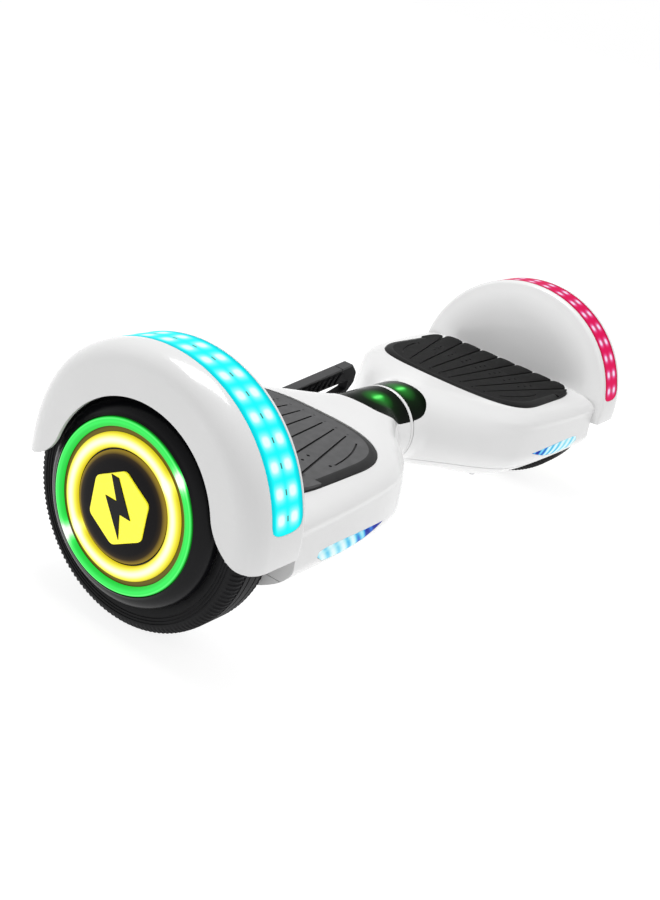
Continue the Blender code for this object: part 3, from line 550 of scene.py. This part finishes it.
def strip_solid(name, side, grow, depth, top, look=None, steps=260, columns=28):
    """A sector of a ring whose front and rear ends are rounded across its width."""
    bm = bmesh.new()
    lean = math.degrees(grow / FENDER_R)
    first, last = STRIP_FIRST - lean, STRIP_LAST + lean
    low, high = STRIP_IN - grow, STRIP_OUT + grow
    middle, half = (low + high) / 2, (high - low) / 2
    tiers = []
    for radius in (FENDER_R - depth, top):
        rows = []
        for k in range(steps + 1):
            row = []
            for c in range(columns + 1):
                u = -1 + 2 * c / columns
                rounded = 1 - (1 - abs(u) ** STRIP_POWER) ** (1 / STRIP_POWER)
                cut = math.degrees(STRIP_CORNER / FENDER_R) * rounded
                start, end = first + cut, last - cut
                angle = math.radians(start + (end - start) * k / steps)
                row.append(bm.verts.new((side * (middle + half * u), FENDER_Y - radius * math.cos(angle),
                                         FENDER_Z + radius * math.sin(angle))))
            rows.append(row)
        tiers.append(rows)
    for rows in tiers:
        for row, following in zip(rows, rows[1:]):
            for c in range(columns):
                bm.faces.new((row[c], row[c + 1], following[c + 1], following[c]))
    low_rows, high_rows = tiers
    for k in range(steps):
        for c in (0, columns):
            bm.faces.new((low_rows[k][c], low_rows[k + 1][c], high_rows[k + 1][c], high_rows[k][c]))
    for k in (0, steps):
        for c in range(columns):
            bm.faces.new((low_rows[k][c], low_rows[k][c + 1], high_rows[k][c + 1], high_rows[k][c]))
    return finish_mesh(name, bm, look)


# ---- Shells ----------------------------------------------------------------------------------
def make_top_shell(side, word):
    shell = body_solid(word + "_top_shell_skin", side, white_shell())
    low, high = sorted((side * 0.2785, side * 0.2950))
    wall = sorted((side * 0.220, side * 0.236))
    grown = pad_outline(0.0004)
    floor = PAD_THICK + PAD_TRAVEL + 0.0002
    pocket = loft(word + "_pocket", [pad_ring(side, grown, floor), pad_ring(side, grown, -0.02)])
    holes = [box(word + "_below", (-0.3, -0.2, -0.02), (0.3, 0.2, PARTING_Z)),
             cavity_solid(word + "_cavity", side),
             turned(word + "_well", WELL, None, side, 120, centre=(FENDER_Y, FENDER_Z)),
             prism(word + "_arch", arch_outline(), "X", low, high),
             strip_solid(word + "_groove", side, GAP, STRIP_DEPTH + GAP, 0.1100, None, 120),
             pocket,
             prism(word + "_lens_hole", lens_outline(side, GAP), "Z", *LENS_SPAN),
             prism(word + "_lamp_hole", headlight_outline(side, GAP), "Y", *LAMP_SPAN),
             prism(word + "_axle_hole", circle(AXLE_HOLE_R, 32, (0.0, AXLE_Z)), "X", *wall)]
    if side < 0:
        for name, radius, x in (("port_hole", PORT_HOLE_R, REAR_PORT_X),
                                ("button_hole", BUTTON_HOLE_R, BUTTON_X)):
            holes.append(prism(name, circle(radius, 40, (x, REAR_Z)), "Y", 0.06, 0.11))
    fender = fender_solid(word + "_fender", side)
    carve(shell, ("UNION", fender), *[("DIFFERENCE", hole) for hole in holes])
    return keep(shell, HALF[side], "white_gloss", word + "_top_shell")


def make_bottom_shell(side, word):
    shell = body_solid(word + "_bottom_shell_skin", side, white_shell())
    carve(shell, ("DIFFERENCE", box(word + "_above", (-0.3, -0.2, PARTING_Z - GAP), (0.3, 0.2, 0.2))),
          ("DIFFERENCE", cavity_solid(word + "_low_cavity", side)))
    return keep(shell, HALF[side], "white_gloss", word + "_bottom_shell")


def make_lens(side, word):
    """Smoked lens with one green lamp under it: a soft halo with a short bright bar."""
    look = glowing("status_lens", (
        (0.0, (0.0, 0.0, 0.0)), (0.18, (0.001, 0.012, 0.001)), (0.5, (0.01, 0.16, 0.014)),
        (0.70, (0.03, 0.45, 0.05)), (1.0, (0.15, 1.0, 0.18))), (0.002, 0.003, 0.002), 0.18, 0.02)
    lens = body_solid(word + "_status_lens_skin", side, look, 200, 150)
    carve(lens, ("INTERSECT", prism(word + "_lens_guide", lens_outline(side), "Z", *LENS_SPAN)),
          ("DIFFERENCE", cavity_solid(word + "_lens_cavity", side)))
    left, right = (-0.0245, -0.0100, 0.0118, 0.66), (0.0120, -0.0080, 0.0125, 0.60)
    spot_x, spot_y, wide, level = left if side < 0 else right

    def value(co):
        dx, dy = co.x - spot_x, co.y - spot_y
        halo = level * math.exp(-(dx * dx + dy * dy) / wide**2)
        streak = 0.45 * math.exp(-(dx / 0.0068) ** 4 - (dy / 0.0020) ** 2)
        return halo + streak
    paint(lens, value)
    return keep(lens, HALF[side], "smoked_lens", word + "_status_lens")


def make_headlight(side, word):
    """Lamp with slanting facets: blue at the inboard tip, paler further out."""
    look = glowing("headlight", (
        (0.0, (0.002, 0.015, 0.32)), (0.25, (0.01, 0.13, 0.62)), (0.5, (0.10, 0.58, 0.85)),
        (0.75, (0.45, 0.85, 0.92)), (1.0, (0.80, 0.95, 0.97))), (0.004, 0.006, 0.01), 0.25, 0.02)
    lamp = body_solid(word + "_headlight_skin", side, look, 260, 200)
    carve(lamp, ("INTERSECT", prism(word + "_lamp_guide", headlight_outline(side), "Y", *LAMP_SPAN)),
          ("DIFFERENCE", cavity_solid(word + "_lamp_cavity", side)))

    def value(co):
        run = (abs(co.x) - 0.120) / 0.084
        lean = abs(co.x) - 0.9 * (co.z - 0.072)
        facet = 0.5 + 0.5 * math.sin(lean * math.tau / 0.0125)
        lit = smooth(0.02, 0.52, run) if side < 0 else 0.45 + 0.55 * smooth(0.10, 0.40, run)
        deep = 0.60 * (1 - smooth(0.45, 1.10, run)) + 0.45 * smooth(0.65, 1.0, run)
        return lit - deep * facet
    paint(lamp, value)
    return keep(lamp, HALF[side], "blue_light", word + "_headlight")


LED_COUNT, LED_FIRST, LED_STEP, LED_OUT = 14, 5.5, 9.0, 0.0062


def make_fender_light(side, word):
    """Glowing strip over the fender, with pairs of bright dots and a small chip between each pair."""
    if side < 0:
        stops = ((0.0, (0.0, 0.62, 0.70)), (0.30, (0.01, 0.93, 0.95)), (0.65, (0.30, 0.95, 0.95)),
                 (0.90, (0.85, 0.97, 0.97)))
        slot, base = "cyan_light", (0.0, 0.04, 0.04)
    else:
        stops = ((0.0, (0.48, 0.0, 0.045)), (0.30, (0.74, 0.0, 0.095)), (0.65, (0.80, 0.16, 0.42)),
                 (0.90, (0.92, 0.72, 0.90)))
        slot, base = "crimson_light", (0.01, 0.0, 0.001)
    strip = strip_solid(word + "_fender_light_skin", side, 0.0, STRIP_DEPTH, FENDER_R,
                        glowing(slot, stops, base, 0.45, 0.02))
    middle = (STRIP_IN + STRIP_OUT) / 2
    angles = [STRIP_FIRST + LED_FIRST + LED_STEP * k for k in range(LED_COUNT)]
    spread = 0.0043 if side < 0 else 0.0034

    def value(co):
        angle = math.degrees(math.atan2(co.z - FENDER_Z, -(co.y - FENDER_Y)))
        nearest = min(angles, key=lambda a: abs(a - angle))
        run = math.radians(angle - nearest) * FENDER_R
        across = abs(abs(co.x) - middle) - LED_OUT
        edge = 0.30 * (1 - smooth(0.0095, 0.0142, abs(abs(co.x) - middle)))
        lit = math.exp(-((run / spread) ** 2) ** 1.3 - ((across / spread) ** 2) ** 1.3)
        return edge + 0.72 * lit
    paint(strip, value)
    keep(strip, HALF[side], slot, word + "_fender_light")
    chips = []
    top = FENDER_R - 0.0001
    across = Vector((1.0, 0.0, 0.0))
    for number, angle in enumerate(angles):
        turn = math.radians(angle)
        chip = box(f"{word}_chip_{number}", (-0.0006, -0.0017, -0.0004), (0.0006, 0.0017, 0.0001),
                   edge=0.0001)
        place = Vector((side * middle, FENDER_Y - top * math.cos(turn), FENDER_Z + top * math.sin(turn)))
        out = Vector((0.0, -math.cos(turn), math.sin(turn)))
        facing = Matrix((across, out.cross(across), out)).transposed().to_4x4()
        chip.data.transform(Matrix.Translation(place) @ facing)
        chips.append(chip)
    look = surface("led_chip", (0.03, 0.12, 0.09), 0.3, 0.4, 0.05, edge=0.0)
    return keep(join(word + "_led_chips", chips, look), HALF[side], "black_plastic")


# ---- Foot pads -------------------------------------------------------------------------------
FAN_APEX, FAN_EDGE = -0.045, 0.335
FAN_SLOPES = (-0.248, -0.176, -0.104, -0.034, 0.034, 0.104, 0.176, 0.248)
# (|x|, |y|) of the short curved line beside the outermost grooves.
BOW = ((0.1110, 0.0490), (0.1180, 0.0525), (0.1260, 0.0558), (0.1350, 0.0584), (0.1450, 0.0604),
       (0.1550, 0.0616))
# (|x|, height) along the crown of one rib's outer end.
KNUCKLE = ((0.1850, 0.0), (0.1950, 0.0004), (0.2050, 0.0009), (0.2140, 0.0013), (0.2200, 0.0014),
           (0.2235, 0.0011), (0.2255, 0.0004), (0.2262, -0.0004))


def fan_y(slope, x):
    """The grooves fan out from a point on the far side of the neck."""
    return slope * (x - FAN_APEX)


def make_pad(side, word):
    """Moulded rubber mat: bevelled rim, fanned grooves that end in a scalloped outer edge."""
    levels = [(-0.0008, PAD_THICK), (0.0, PAD_THICK - 0.0008), (0.0, 0.0006), (-0.0006, 0.0)]
    for k in range(1, 6):
        share = k / 5
        levels.append((-0.0006 - 0.0052 * share, -PAD_RISE * math.sin(math.radians(90 * share))))
    levels.append((-0.0062, -PAD_RISE))
    rings = [pad_ring(side, pad_outline(grow), drop) for grow, drop in levels]
    pad = loft(word + "_foot_pad_skin", rings, pad_rubber(side))
    cutters = []

    def sink(name, outline, depth):
        cutter = prism(f"{word}_{name}", [(side * x, y) for x, y in outline], "Z", 0.1, 0.13)
        cutter.data.transform(pad_shear(side, 0.1, -PAD_RISE + depth))
        cutters.append(cutter)

    narrow, wide, line = 0.00065, 0.00065 * 1.7, 0.0006
    for number, slope in enumerate(FAN_SLOPES):
        start, end = 0.1030 + 0.020 * abs(slope), 0.2290
        near, far = fan_y(slope, start), fan_y(slope, end)
        sink(f"groove_{number}", [(start, near - narrow), (end, far - wide), (end, far + wide),
                                  (start, near + narrow)], 0.0012)
    for sign in (-1, 1):
        band = [(x - 0.0002, sign * (y + line)) for x, y in BOW]
        band += [(x + 0.0002, sign * (y - line)) for x, y in BOW[::-1]]
        sink(f"bow_{sign}", band, 0.0009)
        sink(f"dot_{sign}", circle(0.0012, 12, (0.1590, sign * 0.0606)), 0.0012)
    for number, (one, two) in enumerate(zip(FAN_SLOPES, FAN_SLOPES[1:])):
        for x in (0.1600, 0.1690, 0.1780):
            sink(f"dimple_{number}_{x}", circle(0.0012, 10, (x, fan_y((one + two) / 2, x))), 0.0008)
    carve(pad, *[("DIFFERENCE", cutter) for cutter in cutters])
    # Faces on the bevelled rim, below the tread, take the darker rim rubber: painted shade.
    pad.data.materials.append(shaded_rim_rubber(side))
    limit = PAD_RISE - 0.00002
    heights = [vertex.co.z - pad_plane(abs(vertex.co.x)) for vertex in pad.data.vertices]
    for polygon in pad.data.polygons:
        polygon.material_index = 0 if min(heights[i] for i in polygon.vertices) > limit else 1
    keep(pad, word + "_pad", "grey_rubber", word + "_foot_pad")
    studs = []
    for number, slope in enumerate(FAN_SLOPES):
        x = 0.0995 + 0.020 * abs(slope)
        place = (side * x, fan_y(slope, x), pad_plane(x) + PAD_RISE - 0.0002)
        studs.append(dome(f"{word}_nub_{number}", place, 0.0010, 0.0008))
    edges = (-FAN_EDGE,) + FAN_SLOPES + (FAN_EDGE,)
    knuckles = join(word + "_knuckles", [knuckle(f"{word}_knuckle_{number}", side, low, high)
                                         for number, (low, high) in enumerate(zip(edges, edges[1:]))])
    within = [(side * x, y) for x, y in pad_outline(-0.0006)]
    carve(knuckles, ("INTERSECT", prism(word + "_rib_guide", within, "Z", 0.09, 0.13)))
    ribs = join(word + "_pad_ribs", studs + [knuckles], pad_rubber(side))
    return keep(ribs, word + "_pad", "grey_rubber")


def knuckle(name, side, low, high):
    """Crowned end of one rib, between two grooves, at the pad's outer edge."""
    rings = []
    for x, height in KNUCKLE:
        across = [k / 12 for k in range(13)]
        ring = [(side * x, fan_y(low + (high - low) * (0.06 + 0.88 * share), x),
                 pad_plane(x) + PAD_RISE + height * (1 - (2 * share - 1) ** 4)) for share in across]
        foot = pad_plane(x) + PAD_RISE - 0.0018
        rings.append(ring + [(*ring[-1][:2], foot), (*ring[0][:2], foot)])
    return loft(name, rings)


def pad_shear(side, start, drop):
    """Lay a flat-bottomed cutter that starts at height start on the sloping tread, drop below it."""
    lean = Matrix.Identity(4)
    lean[2][0] = -PAD_SLOPE * side
    lean[2][3] = PAD_Z + PAD_SLOPE * PAD_REF - drop - start
    return lean


def dome(name, place, radius, height):
    rings = []
    for share in (0.0, 0.35, 0.65, 0.88):
        r = radius * math.cos(math.asin(share))
        rings.append([(place[0] + x, place[1] + y, place[2] + height * share) for x, y in circle(r, 14)])
    return loft(name, rings)


# ---- Wheels ----------------------------------------------------------------------------------
SIPES, SIPE_LOW = 150, 0.0762
TREAD_GROOVES, WALL_GROOVES = (0.2415, 0.2465, 0.2535, 0.2585), (0.0745, 0.0725, 0.0705)


def tyre_radius(x, r, share):
    """Cut cross sipes into both shoulders of the tread."""
    if r < SIPE_LOW:
        return r
    phase = (share * SIPES) % 1.0
    sipe = smooth(0.10, 0.30, phase) * (1 - smooth(0.70, 0.90, phase))
    shoulder = smooth(0.0080, 0.0100, abs(x - (TYRE_IN + TYRE_OUT) / 2))
    return r - 0.0009 * sipe * shoulder * smooth(SIPE_LOW, 0.0790, r)


def make_tyre(side, word):
    """Tyre with ring grooves round the tread and on the outer wall, drawn from the inboard bead."""
    profile = [(TYRE_IN + 0.0015, TYRE_SEAT_R), (TYRE_IN + 0.0002, 0.0665), (TYRE_IN, 0.0690),
               (TYRE_IN + 0.0010, 0.0750), (TYRE_IN + 0.0022, 0.0782), (TYRE_IN + 0.0042, 0.0806),
               (TYRE_IN + 0.0065, 0.0820), (TYRE_IN + 0.0085, WHEEL_R)]
    for place in TREAD_GROOVES:
        profile += [(place - 0.0006, WHEEL_R), (place - 0.0004, WHEEL_R - 0.0013),
                    (place + 0.0004, WHEEL_R - 0.0013), (place + 0.0006, WHEEL_R)]
    profile += [(0.2615, WHEEL_R), (0.2640, 0.0822), (0.2662, 0.0808), (0.2678, 0.0788), (0.2684, 0.0768)]
    for place in WALL_GROOVES:
        profile += [(TYRE_OUT, place + 0.0009), (TYRE_OUT - 0.0005, place + 0.0006),
                    (TYRE_OUT - 0.0005, place - 0.0001), (TYRE_OUT, place - 0.0004)]
    profile += [(TYRE_OUT, 0.0690), (0.2670, TYRE_SEAT_R)]
    tyre = turned(word + "_tyre_tread", profile, tyre_rubber(), side, SIPES * 5, tyre_radius, 28.0)
    return keep(tyre, word + "_wheel", "tyre_rubber", word + "_tyre")


def wheel_angle(co):
    return math.atan2(co.z - AXLE_Z, -co.y)


def painted_glint(co):
    """Painted highlight: two small glints on opposite sides of the rings, added to their glow."""
    best = 0.0
    for place in (math.radians(43.0), math.radians(223.0)):
        off = (wheel_angle(co) - place + math.pi) % math.tau - math.pi
        best = max(best, math.exp(-(off / 0.115) ** 2))
    return best


def ring_of(co):
    return math.hypot(co.y, co.z - AXLE_Z)


def near_ring(co, radius, spread):
    """1 on the circle of that radius round the axle, fading to 0 on both sides."""
    return math.exp(-((ring_of(co) - radius) / spread) ** 2)


SEAT_FACE, EMBLEM_R, PLATE_R = CAP_FACE - 0.0016, 0.0346, 0.0245
SEAT_RADII = (0.0, 0.0350, 0.0362, 0.0375, 0.0400, 0.0440, 0.0455, 0.0465, 0.0475, 0.0490, 0.0546)


def make_halo(side, word, colour, low, high, look, value):
    """One coloured ring of light on the hub cap, between two radii."""
    profile = light_ring(low, high, SEAT_FACE + 0.0003, RING_FACE)
    halo = turned(f"{word}_{colour}_halo", profile, look, side, 180)
    paint(halo, value)
    return keep(halo, word + "_wheel", colour + "_light", f"{word}_{colour}_ring")


def make_hub(side, word):
    """Hub cap with two light rings and a raised emblem disc: a yellow hexagon with a black bolt."""
    body = word + "_wheel"
    dome_arc = arc((0.2700, 0.0500), (CAP_FACE - 0.2700, 0.0146), 26, 82, 18)
    seat = [(SEAT_FACE, r) for r in SEAT_RADII] + [(CAP_FACE - 0.0004, 0.0547), (CAP_FACE, 0.0550)]
    outside = [(x, r) for x, r in dome_arc if r > 0.0552]
    inside = [(0.2688, 0.0647), (0.2688, 0.0590), (0.2765, 0.0530), (0.2765, 0.0)]
    look = glowing("hub_black_painted_spill", (
        (0.0, (0.0, 0.0, 0.0)), (0.5, (0.06, 0.045, 0.004)), (1.0, (0.17, 0.13, 0.006))),
        (0.003, 0.003, 0.004), 0.28, 0.16)
    cap = turned(word + "_hub_cap_shell", seat + outside + inside, look, side, 180)
    # Painted light: an olive band of the rings' light spilled onto the cap's seat between the green and
    # yellow rings.
    paint(cap, lambda co: 0.9 * (1 - smooth(0.0005, 0.0032, abs(ring_of(co) - 0.0465)))
          if abs(co.x) > SEAT_FACE - 0.0003 else 0.0)
    keep(cap, body, "black_gloss", word + "_hub_cap")

    look = glowing("green_glow", (
        (0.0, (0.0, 0.10, 0.0)), (0.30, (0.01, 0.62, 0.05)), (0.50, (0.03, 0.85, 0.10)),
        (0.75, (0.28, 1.0, 0.34)), (1.0, (1.0, 1.0, 0.95))), (0.01, 0.10, 0.02))
    # Both rings carry the painted glints on top of their own light.
    make_halo(side, word, "green", 0.0485, 0.0544, look,
              lambda co: 0.30 + 0.20 * near_ring(co, 0.0515, 0.0012) + 0.28 * near_ring(co, 0.0533, 0.0006)
              - 0.30 * smooth(0.0536, 0.0544, ring_of(co)) + 0.75 * painted_glint(co))
    look = glowing("yellow_glow", (
        (0.0, (0.20, 0.15, 0.0)), (0.25, (0.75, 0.62, 0.02)), (0.5, (1.0, 0.95, 0.10)),
        (0.8, (1.0, 1.0, 0.55)), (1.0, (1.0, 1.0, 0.92))), (0.12, 0.10, 0.01))
    make_halo(side, word, "yellow", 0.0358, 0.0452, look,
              lambda co: 0.12 + 0.82 * near_ring(co, 0.0405, 0.0033) + 0.30 * painted_glint(co))

    rim = RING_FACE + 0.0012
    face = [(CAP_FACE - 0.0013, 0.0), (CAP_FACE - 0.0013, EMBLEM_R)]
    face += arc((CAP_FACE - 0.0006, 0.0), (rim - CAP_FACE + 0.0006, EMBLEM_R), 90, 0, 16)[:-1]
    look = glowing("emblem_black_painted_spill", (
        (0.0, (0.0, 0.0, 0.0)), (0.5, (0.030, 0.018, 0.004)), (1.0, (0.30, 0.20, 0.02))),
        (0.007, 0.006, 0.007), 0.30, 0.08)
    disc = turned(word + "_emblem_dish", face + [(rim, 0.0)], look, side, 140)
    # Painted light: the yellow ring's light spilled brown onto the disc's outer edge, fading to black
    # inwards.
    paint(disc, lambda co: smooth(0.0275, 0.0350, ring_of(co)) ** 1.5)
    keep(disc, body, "black_gloss", word + "_emblem_disc")

    low, high = sorted((side * (rim - 0.0012), side * (rim + 0.0005)))
    turns = [math.tau * k / 6 for k in range(6)]
    corners = [(PLATE_R * math.sin(t), AXLE_Z + PLATE_R * math.cos(t)) for t in turns]
    hexagon = rounded_polygon(corners, 0.0030)
    look = surface("emblem_yellow", (0.95, 0.86, 0.02), 0.03, 0.32, 0.05, 400.0, 0.05, coat=0.5)
    put(look.node_tree.nodes["Principled BSDF"], Emission_Color=(1, 0.95, 0.02, 1), Emission_Strength=0.35)
    keep(prism(word + "_emblem_plate", hexagon, "X", low, high, look, 0.0004), body, "yellow_light")
    bolt = [(0.0035, 0.0185), (-0.0110, -0.0030), (-0.0022, -0.0030), (-0.0050, -0.0185),
            (0.0110, 0.0040), (0.0018, 0.0040), (0.0095, 0.0185)]
    low, high = sorted((side * (rim + 0.0002), side * (rim + 0.0010)))
    outline = [(y, AXLE_Z + z) for y, z in bolt]
    mark = prism(word + "_emblem_bolt", outline, "X", low, high, black_gloss(), 0.0002)
    return keep(mark, body, "black_gloss")


def light_ring(low, high, base, face):
    """Half-round bead of light between two radii."""
    middle, half = (low + high) / 2, (high - low) / 2
    turns = [math.radians(t) for t in range(10, 180, 10)]
    bead = [(base + (face - base) * math.sin(t) ** 0.5, middle - half * math.cos(t)) for t in turns]
    return [(base - 0.0001, low)] + bead + [(base - 0.0001, high)]


def rounded_polygon(points, radius):
    made = []
    for i, point in enumerate(points):
        corner = Vector(point)
        before = (Vector(points[i - 1]) - corner).normalized() * radius
        after = (Vector(points[(i + 1) % len(points)]) - corner).normalized() * radius
        for k in range(7):
            t = k / 6
            place = corner + before * (1 - t) ** 2 + after * t**2
            made.append((place.x, place.y))
    return made


# ---- Carry handle ----------------------------------------------------------------------------
HANDLE_FRONT, HANDLE_REAR = 0.0568, 0.0648
# (x, z) outlines of the handle's loop and of the window through it.
HANDLE_SHAPE = [(0.0185, 0.0660), (0.0185, 0.0740), (0.0470, 0.0815), (0.0545, 0.0895), (0.0545, 0.0990),
                (0.0460, 0.1065), (-0.0390, 0.0950), (-0.0435, 0.0905), (-0.0390, 0.0860),
                (-0.0185, 0.0740), (-0.0185, 0.0660)]
HANDLE_WINDOW = [(0.0180, 0.0785), (0.0440, 0.0850), (0.0440, 0.0930), (-0.0260, 0.0855), (-0.0180, 0.0780)]


def grip_line(x, share):
    """Height on the sloping grip: 0 along the window's edge, 1 along the top."""
    low = 0.0855 + 0.1071 * (x + 0.0260)
    high = 0.0950 + 0.1353 * (x + 0.0390)
    return low + (high - low) * share


def make_handle():
    outline = rounded_polygon(HANDLE_SHAPE, 0.0022)
    handle = prism("carry_handle_loop", outline, "Y", HANDLE_FRONT, HANDLE_REAR, black_satin(), 0.0008)
    hole = rounded_polygon(HANDLE_WINDOW, 0.0020)
    foot = box("handle_foot_block", (-0.0185, 0.0435, 0.0662), (0.0185, 0.0638, 0.0745), None, 0.0008)
    bore = prism("handle_bore", circle(0.0028, 24, (0.0485, 0.0700)), "X", -0.03, 0.03)
    carve(handle, ("UNION", foot), ("DIFFERENCE", prism("handle_hole", hole, "Y", 0.05, 0.07)),
          ("DIFFERENCE", bore))
    keep(handle, "handle", "black_plastic", "carry_handle")
    ribs = []
    for number in range(8):
        x = -0.0300 + 0.0078 * number
        left = [(x - 0.0015 + 0.0060 * t**1.6, grip_line(x, 0.10 + 0.70 * t))
                for t in (0, 0.25, 0.5, 0.75, 1)]
        right = [(a + 0.0030, b) for a, b in left[::-1]]
        ribs.append(prism(f"grip_rib_{number}", left + right, "Y", HANDLE_FRONT - 0.0011,
                          HANDLE_FRONT + 0.0004, None, 0.0004))
    keep(join("grip_ribs", ribs, black_satin()), "handle", "black_plastic")
    grey = surface("grip_grey", (0.045, 0.045, 0.047), 0.1, 0.42, 0.05, 1200.0, 0.2, gloss=0.35)
    caps = []
    for number, (low, high) in enumerate(((-0.0395, 0.0290), (0.0300, 0.0445))):
        corners = ((low, -0.0012), (high, -0.0012), (high, 0.0006), (low, 0.0006))
        shape = [(x, grip_line(x, 1.0) + lift) for x, lift in corners]
        caps.append(prism(f"grip_cap_{number}", shape, "Y", HANDLE_FRONT - 0.0006, HANDLE_REAR + 0.0006,
                          None, 0.0005))
    return keep(join("grip_caps", caps, grey), "handle", "black_plastic")


# ---- Underside and small hardware ------------------------------------------------------------
def underside(x, y):
    middle, power = along(WIDEST_Z, x), along(BOTTOM_POWER, x)
    front, rear = along(FRONT_WIDTH, x), along(REAR_WIDTH, x)
    share = (abs(2 * y - rear + front) / (rear + front)) ** power
    return middle - (middle - along(BOTTOM_Z, x)) * (1 - share) ** (1 / power)


BELLY_SCREWS = ((0.096, -0.052), (0.096, 0.052), (0.205, -0.056), (0.205, 0.056), (0.150, -0.060),
                (0.150, 0.060))


def make_screws(side, word):
    """Cross-head screws sunk in the belly, over the bosses."""
    heads = []
    for number, (x, y) in enumerate(BELLY_SCREWS):
        z = underside(x, y)
        head = prism(f"{word}_screw_{number}", circle(0.0030, 24, (side * x, y)), "Z", z - 0.0006,
                     z + 0.0015, None, 0.0004)
        slots = []
        for turn in (0, 1):
            a, b = (0.0018, 0.0004) if turn else (0.0004, 0.0018)
            slot = box(f"{word}_slot_{number}_{turn}", (side * x - a, y - b, z - 0.002),
                       (side * x + a, y + b, z + 0.0002))
            slots.append(("DIFFERENCE", slot))
        heads.append(carve(head, *slots))
    return keep(join(word + "_belly_screws", heads, steel()), HALF[side], "steel")


def steel():
    return surface("brushed_steel", (0.55, 0.55, 0.56), 0.06, 0.32, 0.08, 700.0, 0.15, metallic=1.0,
                   stretch=(1.0, 0.05, 1.0))


def dress_cad_nodes():
    """Pieces whose CAD shape is right keep it and get a finished material."""
    cast = surface("cast_aluminium", (0.58, 0.59, 0.60), 0.08, 0.48, 0.08, 900.0, 0.35, metallic=1.0)
    copper = surface("copper_winding", (0.62, 0.26, 0.11), 0.15, 0.38, 0.08, 1500.0, 0.5, metallic=1.0,
                     stretch=(0.2, 1.0, 1.0))
    magnet = surface("magnet_steel", (0.24, 0.24, 0.26), 0.10, 0.35, 0.06, metallic=1.0)
    bronze = surface("sintered_bronze", (0.58, 0.40, 0.19), 0.12, 0.45, 0.06, 1800.0, 0.3, metallic=1.0)
    board = surface("circuit_board", (0.018, 0.16, 0.07), 0.35, 0.42, 0.08, 900.0, 0.1)
    wrap = surface("battery_wrap", (0.045, 0.14, 0.48), 0.10, 0.35, 0.08, 200.0, 0.3)
    jacket = surface("cable_jacket", (0.025, 0.025, 0.027), 0.15, 0.55, 0.06, 1200.0, 0.2)
    rubber = surface("cover_rubber", (0.045, 0.045, 0.047), 0.12, 0.65, 0.06, 1600.0, 0.3)
    looks = {"chassis": cast, "axle_clamp": cast, "rim": cast, "motor_cover": cast, "stator": copper,
             "magnet_ring": magnet, "wheel_bearing": steel(), "axle": steel(), "gyro_board": board,
             "foot_switch_front": black_satin(), "foot_switch_rear": black_satin()}
    nodes = {f"{word}_{name}": look for _, word in SIDES for name, look in looks.items()}
    nodes.update({"pivot_tube": steel(), "pivot_spacer": steel(), "pivot_circlip": steel(),
                  "handle_pin": steel(), "pivot_bush": bronze, "battery_pack": wrap, "main_board": board,
                  "speaker": black_satin(), "battery_cable": jacket, "charge_port": black_satin(),
                  "charge_cover": rubber, "power_button": black_gloss(), "handle_bracket": black_satin()})
    for name, look in nodes.items():
        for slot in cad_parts[name].material_slots:
            slot.material = look


def make_centre_ring():
    bore = RING_R - 0.0032
    profile = [(-0.0020, bore), (0.0020, bore), (0.0021, RING_R - 0.0012)]
    profile += arc((0.0008, RING_R - 0.0012), (0.0012, 0.0014), 10, 90, 5)
    profile += arc((-0.0008, RING_R - 0.0012), (0.0012, 0.0014), 90, 170, 5) + [(-0.0021, RING_R - 0.0012)]
    ring = turned("centre_band", profile, white_shell(), 1, 160, centre=PIVOT)
    return keep(ring, "left_half", "white_gloss", "centre_ring")


# ---- Stage -----------------------------------------------------------------------------------
def make_stage():
    bm = bmesh.new()
    corners = [bm.verts.new((x, y, 0.0)) for x, y in ((-40, -40), (40, -40), (40, 40), (-40, 40))]
    bm.faces.new(corners)
    made, _, _, shader = shader_of("pale_floor")
    put(shader, Base_Color=(0.35, 0.35, 0.35, 1.0), Roughness=0.9, Specular_IOR_Level=0.1,
        Emission_Color=(1.0, 1.0, 1.0, 1.0), Emission_Strength=0.84)
    finish_mesh("floor", bm, made)


def add_area(name, place, target, size, power):
    data = bpy.data.lights.new(name, "AREA")
    data.shape = "RECTANGLE"
    data.size, data.size_y = size
    data.energy = power
    lamp = bpy.data.objects.new(name, data)
    lamp.location = place
    lamp.rotation_euler = (Vector(target) - Vector(place)).to_track_quat("-Z", "Y").to_euler()
    bpy.context.scene.collection.objects.link(lamp)


def make_lights():
    """White all round at eye level and dimmer overhead, with one broad softbox above the deck."""
    world = bpy.data.worlds.new("studio")
    world.use_nodes = True
    nodes, links = world.node_tree.nodes, world.node_tree.links
    place = nodes.new("ShaderNodeTexCoord")
    parts = nodes.new("ShaderNodeSeparateXYZ")
    links.new(place.outputs["Generated"], parts.inputs["Vector"])
    greys = [(height, (level,) * 3) for height, level in ((0.06, 1.0), (0.35, 0.62), (0.80, 0.40))]
    links.new(ramp(nodes, links, parts.outputs["Z"], greys), nodes["Background"].inputs["Color"])
    put(nodes["Background"], Strength=1.0)
    bpy.context.scene.world = world
    add_area("softbox", (-0.07, 0.08, 0.95), (0.06, 0.0, 0.10), (0.35, 0.70), 6.5)
    bpy.context.scene.view_settings.view_transform = "Standard"


# ---- Assembly --------------------------------------------------------------------------------
def build():
    make_camera()
    make_stage()
    make_lights()
    for side, word in SIDES:
        make_top_shell(side, word)
        make_bottom_shell(side, word)
        make_lens(side, word)
        make_headlight(side, word)
        make_fender_light(side, word)
        make_pad(side, word)
        make_tyre(side, word)
        make_hub(side, word)
        make_screws(side, word)
    make_centre_ring()
    make_handle()
    dress_cad_nodes()


build()
